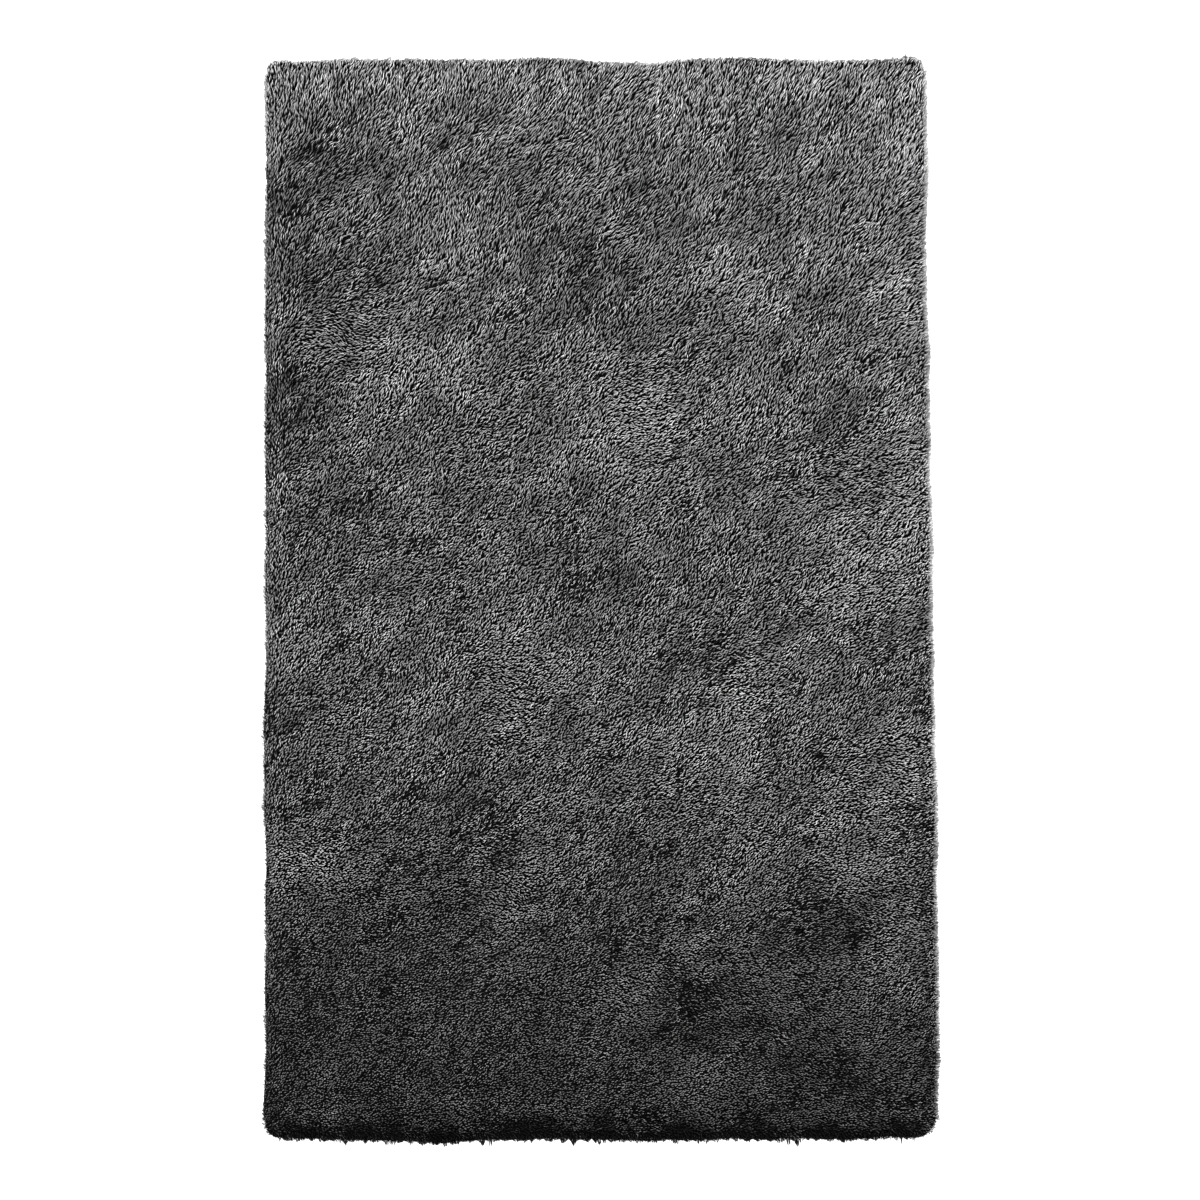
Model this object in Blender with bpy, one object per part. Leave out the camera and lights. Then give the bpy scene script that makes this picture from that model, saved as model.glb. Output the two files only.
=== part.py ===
"""Shag rug: one thick tufted pile cloth lying flat, with locks of pile standing out round its rim.

Metres, +Z up. The origin is on the floor under the rug's middle. +Y runs along the rug towards
its far end and +X across it. Run with: blender --background --python part.py
"""

import math
from typing import NamedTuple

import bmesh
import bpy
from mathutils import Vector, noise

# Driving dimensions, in metres
RUG_WIDTH = 1.490  # over the tips of most locks, before the skew
RUG_LENGTH = 2.438  # over the tips of most locks
PILE_TOP = 0.0365  # mean height of the pile's top over the floor
RIM_SPREAD = 0.026  # from the flat of the top out to the foot of the rim
LOCK_REACH = 0.016  # from the foot of the rim out to the tips of most locks
END_SKEW = 0.0135  # how far the near end lies to +X of the far end

# The top is a net of this many cells, and the rim has two columns for each cell at its edge
CELLS_ACROSS = 38
CELLS_ALONG = 64

# The pile's unevenness: its height and its size on the rug, in metres
BROAD_SWELL = 0.0035
BROAD_SIZE = 0.240
TUFT_SWELL = 0.0150
TUFT_SIZE = 0.085
TUFT_MEAN = 0.35  # share of TUFT_SWELL that sets the creases between tufts below PILE_TOP
TUFT_SQUEEZE = 0.62  # makes a tuft longer down its sweep than across it
TUFT_LAYER = 5.0
SWEEP_FAR = math.radians(70)  # the pile's sweep, turned from +X, at the far end
SWEEP_NEAR = math.radians(15)  # and at the near end
NOISE_GAIN = 1.8  # brings the noise to a range of about -1 to 1


class Parting(NamedTuple):
    """A round place where the pile is parted or trodden (down) or stands up. Metres."""

    x: float
    y: float
    radius: float
    rise: float


PARTINGS = (
    Parting(-0.58, 0.57, 0.12, -0.0040),
    Parting(0.09, 0.39, 0.13, -0.0045),
    Parting(0.65, 0.21, 0.12, -0.0040),
    Parting(-0.24, -0.16, 0.11, -0.0040),
    Parting(0.30, -0.25, 0.12, -0.0045),
    Parting(0.66, -0.40, 0.09, -0.0035),
    Parting(-0.67, -0.58, 0.09, -0.0035),
    Parting(-0.20, -0.65, 0.10, -0.0040),
    Parting(0.05, -0.90, 0.09, -0.0035),
    Parting(-0.30, 0.79, 0.08, 0.0035),
    Parting(0.00, 0.66, 0.10, 0.0040),
    Parting(-0.58, 0.13, 0.10, 0.0035),
    Parting(0.00, 0.03, 0.10, 0.0040),
    Parting(-0.26, -0.44, 0.10, 0.0035),
    Parting(0.45, -0.74, 0.11, 0.0040),
)


class Bend(NamedTuple):
    """A slow bend of the outline: its middle and half length along a side, and its depth. Metres."""

    side: str
    place: float
    half_length: float
    outwards: float


BENDS = (
    Bend("far", -0.13, 0.12, 0.0050),
    Bend("far", 0.07, 0.09, -0.0055),
    Bend("far", 0.35, 0.13, 0.0050),
    Bend("near", -0.42, 0.12, 0.0050),
    Bend("near", -0.66, 0.12, -0.0045),
    Bend("near", 0.12, 0.12, 0.0040),
    Bend("near", 0.64, 0.16, -0.0060),
    Bend("left", 0.56, 0.16, -0.0030),
    Bend("left", -0.05, 0.10, -0.0035),
    Bend("right", 0.78, 0.16, -0.0030),
    Bend("right", -0.90, 0.25, 0.0030),
)
SIDE_FADE = 8  # how steeply the bends of a long side die away inwards from it
END_FADE = 14  # and those of an end

# How far each corner is drawn in, within CORNER_SIZE of it, in metres
CORNER_INSET = {
    ("left", "far"): 0.0030,
    ("right", "far"): 0.0050,
    ("left", "near"): 0.0060,
    ("right", "near"): 0.0120,
}
CORNER_SIZE = 0.055
CORNER_MITRE = 1.16  # the rim spreads this much further at a corner point of the net
CORNER_TURN = 0.5  # sides turn a corner where their normals' product is under this


class RimRow(NamedTuple):
    """A row of the rim: shares of RIM_SPREAD outwards and of the top's height upwards."""

    out: float
    up: float


RIM_ROWS = (RimRow(0.55, 0.84), RimRow(0.92, 0.46), RimRow(1.00, 0.00))
RIM_WAVER = 0.0030
RIM_WAVER_SIZE = 0.045

# Each third column of the rim has a hanging lock, and each third has one that rests on the floor
LOCK_EVERY = 3
HANGING_COLUMN = 0
RESTING_COLUMN = 2

# A lock: a rim face drawn out to a waist, and from there to a point
LOCK_LENGTH = {"far": 1.00, "near": 1.10, "left": 0.90, "right": 0.90}  # shares of LOCK_REACH
LOCK_UNEVEN = 0.28  # share by which a lock is longer or shorter than its neighbours
LOCK_UNEVEN_SIZE = 0.011
LOCK_SWAY = 0.0100  # how far a tip stands to one side of its root
LOCK_SWAY_SIZE = 0.017
WAIST_REACH = 0.55  # share of the lock's length from its root to its waist
TIP_REACH = 0.75  # share of the lock's length from its waist to its tip
WAIST_WIDTH = 0.66  # share of the root's width
WAIST_HEIGHT = 0.62  # share of the root's height
WAIST_SWAY = 0.30  # share of the tip's sway
WAIST_DROOP = 0.0030  # how far the waist of a hanging lock drops
HANGING_TIP = 0.0060  # height of a hanging lock's tip over the floor
SWAY_LAYER = 3.0
UNEVEN_LAYER = 9.0

CHARCOAL = (0.075, 0.075, 0.078, 1.0)
YARN_ROUGHNESS = 0.9
SHARP_ANGLE = math.radians(50)


def clear_scene():
    """Remove whatever the file opened with."""
    for old in list(bpy.data.objects):
        bpy.data.objects.remove(old)


def bump(distance, radius):
    """A smooth hill: 1 at its middle and 0 at its radius."""
    share = min(abs(distance) / radius, 1.0)
    return (1.0 - share * share) ** 2


def uneven(x, y, size, layer=0.0):
    """Soft noise from about -1 to 1, with features of this size, the same on every run."""
    return noise.noise(Vector((x / size, y / size, layer))) * NOISE_GAIN


def outline_shift(side, along):
    """How far the outline bends outwards at a place along a side."""
    return sum(b.outwards * bump(along - b.place, b.half_length) for b in BENDS if b.side == side)


def plan_point(s, t):
    """The place on the floor of a point of the net, with s and t from -1 to 1 across and along."""
    half_width = RUG_WIDTH / 2 - RIM_SPREAD - LOCK_REACH
    half_length = RUG_LENGTH / 2 - RIM_SPREAD - LOCK_REACH
    side = "right" if s > 0 else "left"
    end = "far" if t > 0 else "near"
    x, y = s * half_width, t * half_length
    to_corner = math.hypot(half_width - abs(x), half_length - abs(y))
    inset = CORNER_INSET[side, end] * bump(to_corner, CORNER_SIZE)
    x += math.copysign(abs(s) ** SIDE_FADE * outline_shift(side, y) - inset, s)
    y += math.copysign(abs(t) ** END_FADE * outline_shift(end, x) - inset, t)
    return x - END_SKEW * y / RUG_LENGTH, y


def top_height(x, y):
    """The height of the pile's top over the floor: its broad swells, tufts and partings."""
    sweep = SWEEP_NEAR + (SWEEP_FAR - SWEEP_NEAR) * (y / RUG_LENGTH + 0.5)
    along = x * math.cos(sweep) + y * math.sin(sweep)
    across = y * math.cos(sweep) - x * math.sin(sweep)
    tuft = abs(uneven(along * TUFT_SQUEEZE, across, TUFT_SIZE, TUFT_LAYER)) - TUFT_MEAN
    height = PILE_TOP + BROAD_SWELL * uneven(x, y, BROAD_SIZE) + TUFT_SWELL * tuft
    return height + sum(p.rise * bump(math.hypot(x - p.x, y - p.y), p.radius) for p in PARTINGS)


def net_of_top(bm):
    """Make the pile's top, as a net of cells, and return the points round its edge in order."""
    bmesh.ops.create_grid(bm, x_segments=CELLS_ACROSS, y_segments=CELLS_ALONG, size=1.0)
    for edge in [e for e in bm.edges if e.is_boundary]:
        bmesh.utils.edge_split(edge, edge.verts[0], 0.5)
    for vert in bm.verts:
        x, y = plan_point(vert.co.x, vert.co.y)
        vert.co = Vector((x, y, top_height(x, y)))
    return boundary_ring(min(bm.verts, key=lambda v: v.co.x + v.co.y))


def boundary_ring(start):
    """The boundary points in order from start, running so that the rug is on the left."""
    ring = [start]
    while True:
        ahead = next(loop.link_loop_next.vert for loop in ring[-1].link_loops if loop.edge.is_boundary)
        if ahead is start:
            return ring
        ring.append(ahead)


def outward_of(ring, i):
    """The level direction out of the rug at one point of its edge, longer at a corner."""
    before, here, after = ring[i - 1].co, ring[i].co, ring[(i + 1) % len(ring)].co
    legs = [(here - before).to_2d().normalized(), (after - here).to_2d().normalized()]
    normals = [Vector((leg.y, -leg.x)) for leg in legs]
    is_corner = normals[0].dot(normals[1]) < CORNER_TURN
    return (normals[0] + normals[1]).normalized() * (CORNER_MITRE if is_corner else 1.0)


def edges_round(bm, ring):
    """The edges that join a ring of points."""
    return [bm.edges.get(pair) for pair in zip(ring, ring[1:] + ring[:1])]


def add_rim(bm, edge):
    """Roll the net's edge down to the floor in rows, and return the rings of points, top first."""
    outward = [outward_of(edge, i) for i in range(len(edge))]
    rings = [edge]
    for row in RIM_ROWS:
        grown = bmesh.ops.extrude_edge_only(bm, edges=edges_round(bm, rings[-1]))["geom"]
        new = {item for item in grown if isinstance(item, bmesh.types.BMVert)}
        ring = [next(e.other_vert(v) for e in v.link_edges if e.other_vert(v) in new) for v in rings[-1]]
        for vert, out, above in zip(ring, outward, edge):
            waver = RIM_WAVER * uneven(above.co.x, above.co.y, RIM_WAVER_SIZE, layer=row.out)
            place = above.co.to_2d() + out * (RIM_SPREAD * row.out + waver)
            vert.co = Vector((place.x, place.y, above.co.z * row.up))
        rings.append(ring)
    return rings


def side_of(point):
    """The side of the rug that a point of the rim is on."""
    past_side = abs(point.x) - RUG_WIDTH / 2
    past_end = abs(point.y) - RUG_LENGTH / 2
    if past_end > past_side:
        return "far" if point.y > 0 else "near"
    return "right" if point.x > 0 else "left"


def add_lock(bm, face, on_floor):
    """One lock of pile: drawn out of a rim face to a narrower waist, and then to a point."""
    root = face.calc_center_median()
    out = face.normal.to_2d().normalized().to_3d()
    across = Vector((-out.y, out.x, 0.0))
    chance = uneven(root.x, root.y, LOCK_UNEVEN_SIZE, UNEVEN_LAYER)
    reach = LOCK_REACH * LOCK_LENGTH[side_of(root)] * (1.0 + LOCK_UNEVEN * chance)
    sway = across * LOCK_SWAY * uneven(root.x, root.y, LOCK_SWAY_SIZE, SWAY_LAYER)
    foot = min(v.co.z for v in face.verts)

    waist = bmesh.ops.extrude_discrete_faces(bm, faces=[face])["faces"][0]
    for vert in waist.verts:
        aside = across * (vert.co - root).dot(across) * WAIST_WIDTH
        place = root + out * reach * WAIST_REACH + aside + sway * WAIST_SWAY
        place.z = foot + (vert.co.z - foot) * WAIST_HEIGHT - (0.0 if on_floor else WAIST_DROOP)
        vert.co = place

    tip = waist.calc_center_median() + out * reach * TIP_REACH + sway
    tip.z = 0.0 if on_floor else HANGING_TIP
    end = bmesh.ops.extrude_discrete_faces(bm, faces=[waist])["faces"][0]
    bmesh.ops.pointmerge(bm, verts=list(end.verts), merge_co=tip)


def rim_face(bm, upper, lower, i):
    """The rim face of one column, between two rings."""
    shared = bm.edges.get((lower[i], lower[(i + 1) % len(lower)]))
    return next(f for f in shared.link_faces if upper[i] in f.verts)


def add_locks(bm, rings):
    """Locks in two staggered tiers: one hangs from high on the rim, and one rests on the floor."""
    _, high, low, foot = rings
    columns = len(foot)
    hanging = [rim_face(bm, high, low, i) for i in range(HANGING_COLUMN, columns, LOCK_EVERY)]
    resting = [rim_face(bm, low, foot, i) for i in range(RESTING_COLUMN, columns, LOCK_EVERY)]
    for face in hanging:
        add_lock(bm, face, on_floor=False)
    for face in resting:
        add_lock(bm, face, on_floor=True)


def centre_over_origin(bm):
    """Shift the rug so that the origin is under the middle of its box."""
    low = Vector([min(v.co[k] for v in bm.verts) for k in range(3)])
    high = Vector([max(v.co[k] for v in bm.verts) for k in range(3)])
    middle = (low + high) / 2
    bmesh.ops.translate(bm, verts=bm.verts, vec=Vector((-middle.x, -middle.y, -low.z)))


def charcoal_pile():
    """The pile's dull charcoal grey."""
    material = bpy.data.materials.new("charcoal_pile")
    material.use_nodes = True
    shader = material.node_tree.nodes["Principled BSDF"]
    shader.inputs["Base Color"].default_value = CHARCOAL
    shader.inputs["Roughness"].default_value = YARN_ROUGHNESS
    shader.inputs["Metallic"].default_value = 0.0
    return material


def shag_rug():
    """The rug as one closed solid: lumpy top, rolled rim, flat underside and locks."""
    bm = bmesh.new()
    rings = add_rim(bm, net_of_top(bm))
    bmesh.ops.contextual_create(bm, geom=edges_round(bm, rings[-1]))
    bmesh.ops.recalc_face_normals(bm, faces=bm.faces)
    add_locks(bm, rings)
    bmesh.ops.recalc_face_normals(bm, faces=bm.faces)
    centre_over_origin(bm)
    mesh = bpy.data.meshes.new("shag_rug")
    bm.to_mesh(mesh)
    bm.free()
    mesh.shade_smooth()
    mesh.set_sharp_from_angle(angle=SHARP_ANGLE)
    mesh.materials.append(charcoal_pile())
    return bpy.data.objects.new("shag_rug", mesh)


def main():
    """Build the rug in a collection of its own."""
    clear_scene()
    parts = bpy.data.collections.new("shag_rug_parts")
    bpy.context.scene.collection.children.link(parts)
    parts.objects.link(shag_rug())


main()
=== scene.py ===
"""Looks of the shag rug: its backing cloth, the dark foot of its pile and its bent yarns.

Metres, +Z up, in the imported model's own frame: +Y runs to the rug's far end and +X across it.
"""

import logging
import math
from dataclasses import dataclass, field, fields
from enum import Enum

import bpy
import numpy as np
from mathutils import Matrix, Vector
from mathutils.bvhtree import BVHTree

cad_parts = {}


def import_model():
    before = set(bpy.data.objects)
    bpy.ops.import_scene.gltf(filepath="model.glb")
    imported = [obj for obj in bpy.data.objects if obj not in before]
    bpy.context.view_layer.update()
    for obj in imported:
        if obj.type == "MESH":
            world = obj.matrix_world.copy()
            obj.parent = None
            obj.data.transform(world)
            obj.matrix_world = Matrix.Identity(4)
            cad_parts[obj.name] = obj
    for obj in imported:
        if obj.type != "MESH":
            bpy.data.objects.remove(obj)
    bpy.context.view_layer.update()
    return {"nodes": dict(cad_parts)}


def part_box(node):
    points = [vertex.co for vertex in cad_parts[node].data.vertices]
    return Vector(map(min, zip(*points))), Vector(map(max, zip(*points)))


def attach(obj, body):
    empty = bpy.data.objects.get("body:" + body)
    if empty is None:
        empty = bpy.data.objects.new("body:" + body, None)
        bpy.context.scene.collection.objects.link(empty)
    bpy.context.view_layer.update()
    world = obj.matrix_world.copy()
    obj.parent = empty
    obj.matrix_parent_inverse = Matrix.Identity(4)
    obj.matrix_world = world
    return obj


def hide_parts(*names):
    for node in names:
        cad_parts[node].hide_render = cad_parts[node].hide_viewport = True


LOG = logging.getLogger("shag_rug")
NODE = "shag_rug"
BODY = "root"
TINY = 1e-6  # keeps a division clear of zero
END_FACE = 0.9  # a face whose normal stands this steeply closes an end
ON_AXIS = 0.01  # a pattern's point nearer to its axis than this is a root or a tip
SEAM_TURN = 1.0001  # a turn is wrapped just past 1, so that the far side of a seam stays at 1
BAKE_MARGIN = 0.06  # share of a yarn's bake cell that is left free at each edge


class Side(Enum):
    """A side of the rug, as the level direction out of it."""

    LEFT = (-1.0, 0.0)
    RIGHT = (1.0, 0.0)
    NEAR = (0.0, -1.0)
    FAR = (0.0, 1.0)

    @property
    def out(self) -> np.ndarray:
        """The level direction out of the rug."""
        return np.array(self.value)

    @property
    def axis(self) -> int:
        """The axis that crosses this side: 0 for X and 1 for Y."""
        return int(self.value[0] == 0.0)


class Slot(Enum):
    """The record's material slots."""

    YARN = "pile_yarn"
    BACKING = "backing_cloth"


def deselect_all() -> None:
    """Leave nothing selected and nothing active."""
    if bpy.context.object and bpy.context.object.mode != "OBJECT":
        bpy.ops.object.mode_set(mode="OBJECT")
    bpy.ops.object.select_all(action="DESELECT")


def smooth_step(value: np.ndarray) -> np.ndarray:
    """Ease a value from 0 to 1, flat outside."""
    share = np.clip(value, 0.0, 1.0)
    return share * share * (3.0 - 2.0 * share)


@dataclass(frozen=True)
class Ripple:
    """A smooth random field with a spread of 1, summed from waves that run in all directions.

    Args:
        size: The waves' mean length, in metres.
        seed: Picks the waves.
        waves: How many there are.
        stretch: How many times longer the waves are along the grain than across it.
        grain: The grain's turn from +X, in degrees.
        lengths: The shortest and the longest wave, as shares of the size.
    """

    size: float
    seed: int
    waves: int = 28
    stretch: float = 1.0
    grain: float = 50.0
    lengths: tuple[float, float] = (0.7, 1.5)

    def at(self, places: np.ndarray) -> np.ndarray:
        """Read the field.

        Args:
            places: Points on the rug, n by 2.

        Returns:
            One value for each point.
        """
        rng = np.random.default_rng(self.seed)
        turn = rng.uniform(0.0, math.tau, self.waves)
        phase = rng.uniform(0.0, math.tau, self.waves)
        length = self.size * rng.uniform(*self.lengths, self.waves)
        wave = np.stack([np.cos(turn), np.sin(turn)]) * math.tau / length
        grain = math.radians(self.grain)
        along = places @ np.array([math.cos(grain), math.sin(grain)]) / self.stretch
        across = places @ np.array([-math.sin(grain), math.cos(grain)])
        heights = np.cos(np.stack([along, across], axis=1) @ wave + phase)
        return heights.sum(axis=1) * math.sqrt(2.0 / self.waves)


@dataclass(frozen=True)
class Patch:
    """A soft round place on the rug.

    Args:
        x: Its middle across the rug, in metres.
        y: Its middle along the rug.
        radius: Its radius.
        amount: What it adds at its middle.
    """

    x: float
    y: float
    radius: float
    amount: float

    def at(self, places: np.ndarray) -> np.ndarray:
        """Return what the patch adds at each of n by 2 places."""
        away = np.hypot(places[:, 0] - self.x, places[:, 1] - self.y) / self.radius
        return self.amount * np.clip(1.0 - away * away, 0.0, 1.0) ** 2


def sum_of(patches: tuple[Patch, ...], places: np.ndarray) -> np.ndarray:
    """Add up what all patches give at each place."""
    return sum((patch.at(places) for patch in patches), np.zeros(len(places)))


# Where the lay is turned aside: middle, radius and degrees
PARTINGS = (
    Patch(0.08, 1.14, 0.12, -25.0),
    Patch(-0.58, 0.57, 0.13, -55.0),
    Patch(0.08, 0.48, 0.15, -28.0),
    Patch(0.10, 0.36, 0.12, -28.0),
    Patch(0.62, 0.25, 0.20, -30.0),
    Patch(0.64, -0.05, 0.20, -16.0),
    Patch(-0.23, -0.17, 0.13, -38.0),
    Patch(-0.21, -0.30, 0.10, -28.0),
    Patch(0.31, -0.22, 0.15, -30.0),
    Patch(0.64, -0.40, 0.20, -26.0),
    Patch(-0.67, -0.58, 0.12, -28.0),
    Patch(-0.21, -0.67, 0.12, -35.0),
    Patch(0.05, -0.90, 0.10, -22.0),
    Patch(0.64, -0.72, 0.20, -16.0),
    Patch(0.42, -0.97, 0.36, -24.0),
)

# Places of painted light and shade: middle, radius and what is added to the yarns' tone
PAINTED_LIGHT_AND_SHADE = (
    Patch(-0.37, 0.86, 0.09, 0.34),
    Patch(-0.30, 0.76, 0.10, 0.57),
    Patch(-0.45, 0.51, 0.13, 0.61),
    Patch(-0.33, 0.50, 0.09, 0.49),
    Patch(0.04, 0.93, 0.07, 0.46),
    Patch(0.24, 0.86, 0.07, 0.46),
    Patch(0.31, 0.72, 0.13, 0.65),
    Patch(0.37, 0.63, 0.08, 0.49),
    Patch(0.51, 0.78, 0.14, 0.34),
    Patch(0.70, 0.95, 0.21, 0.68),
    Patch(0.70, 0.66, 0.18, 0.68),
    Patch(0.07, 0.37, 0.20, 0.65),
    Patch(0.13, 0.47, 0.08, 0.42),
    Patch(0.31, 0.39, 0.10, 0.53),
    Patch(0.69, 0.33, 0.15, 0.65),
    Patch(0.70, 0.12, 0.21, 0.87),
    Patch(0.54, 0.03, 0.14, 0.53),
    Patch(-0.22, -0.15, 0.17, 0.53),
    Patch(-0.05, -0.17, 0.09, 0.38),
    Patch(-0.68, -0.09, 0.11, 0.53),
    Patch(0.28, -0.29, 0.16, 0.57),
    Patch(0.34, -0.21, 0.10, 0.38),
    Patch(0.70, -0.41, 0.15, 0.87),
    Patch(0.56, -0.57, 0.14, 0.49),
    Patch(-0.68, -0.60, 0.13, 0.80),
    Patch(-0.18, -0.65, 0.10, 0.68),
    Patch(-0.24, -0.77, 0.08, 0.49),
    Patch(0.32, -0.63, 0.13, 0.49),
    Patch(0.20, -0.77, 0.08, 0.76),
    Patch(0.67, -0.83, 0.17, 0.65),
    Patch(0.05, -0.88, 0.10, 0.65),
    Patch(0.01, -1.00, 0.11, 0.34),
    Patch(-0.32, -1.14, 0.08, 0.95),
    Patch(0.24, -1.11, 0.11, 0.65),
    Patch(-0.62, -1.13, 0.10, 0.46),
    Patch(-0.67, 0.93, 0.16, -0.45),
    Patch(-0.54, 1.06, 0.14, -0.29),
    Patch(-0.65, 0.76, 0.14, -0.36),
    Patch(-0.72, 0.42, 0.20, -0.51),
    Patch(-0.01, 0.71, 0.17, -0.38),
    Patch(-0.14, 0.72, 0.11, -0.20),
    Patch(0.12, 0.87, 0.08, -0.27),
    Patch(-0.59, 0.15, 0.16, -0.36),
    Patch(0.01, 0.04, 0.14, -0.42),
    Patch(0.18, 0.20, 0.10, -0.22),
    Patch(0.22, -0.12, 0.13, -0.31),
    Patch(-0.32, -0.09, 0.09, -0.25),
    Patch(0.56, 0.42, 0.09, -0.29),
    Patch(-0.72, -0.28, 0.16, -0.31),
    Patch(-0.70, -0.46, 0.11, -0.22),
    Patch(0.58, -0.26, 0.11, -0.31),
    Patch(-0.25, -0.44, 0.15, -0.31),
    Patch(-0.38, -0.58, 0.17, -0.31),
    Patch(-0.34, -0.73, 0.13, -0.29),
    Patch(0.08, -0.62, 0.13, -0.27),
    Patch(0.48, -0.73, 0.16, -0.29),
    Patch(0.20, -0.93, 0.14, -0.31),
    Patch(0.52, -1.07, 0.14, -0.20),
    Patch(-0.67, -0.91, 0.18, -0.25),
)


@dataclass(frozen=True)
class Dip:
    """A place where one side of the rug falls back from its straight line, or stands out from it.

    Args:
        side: The side.
        place: Its middle along the side, in metres.
        spread: How far it runs both ways.
        depth: How far the side falls back there, less than zero where it stands out.
    """

    side: Side
    place: float
    spread: float
    depth: float

    def at(self, along: np.ndarray) -> np.ndarray:
        """Return how far the side falls back at each place along it."""
        away = (along - self.place) / self.spread
        return self.depth * np.clip(1.0 - away * away, 0.0, 1.0) ** 2


# Where the pile's outline departs from the wall's: side, middle along it, spread both ways and depth
DIPS = (
    Dip(Side.FAR, 0.07, 0.14, 0.014),
    Dip(Side.FAR, -0.72, 0.12, 0.009),
    Dip(Side.FAR, 0.47, 0.12, 0.004),
    Dip(Side.NEAR, -0.72, 0.20, 0.013),
    Dip(Side.NEAR, 0.74, 0.24, 0.022),
    Dip(Side.NEAR, 0.08, 0.12, 0.003),
    Dip(Side.NEAR, 0.31, 0.05, 0.003),
    Dip(Side.NEAR, 0.43, 0.10, 0.003),
    Dip(Side.NEAR, -0.33, 0.10, -0.004),
    Dip(Side.NEAR, -0.14, 0.10, 0.003),
    Dip(Side.RIGHT, 0.75, 0.26, 0.010),
    Dip(Side.RIGHT, 0.30, 0.16, 0.004),
    Dip(Side.RIGHT, -0.48, 0.26, -0.005),
    Dip(Side.RIGHT, -1.16, 0.14, 0.008),
    Dip(Side.LEFT, 0.55, 0.10, 0.005),
    Dip(Side.LEFT, 0.38, 0.12, -0.003),
    Dip(Side.LEFT, -0.05, 0.08, 0.005),
    Dip(Side.LEFT, -0.38, 0.24, -0.004),
)


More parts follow.
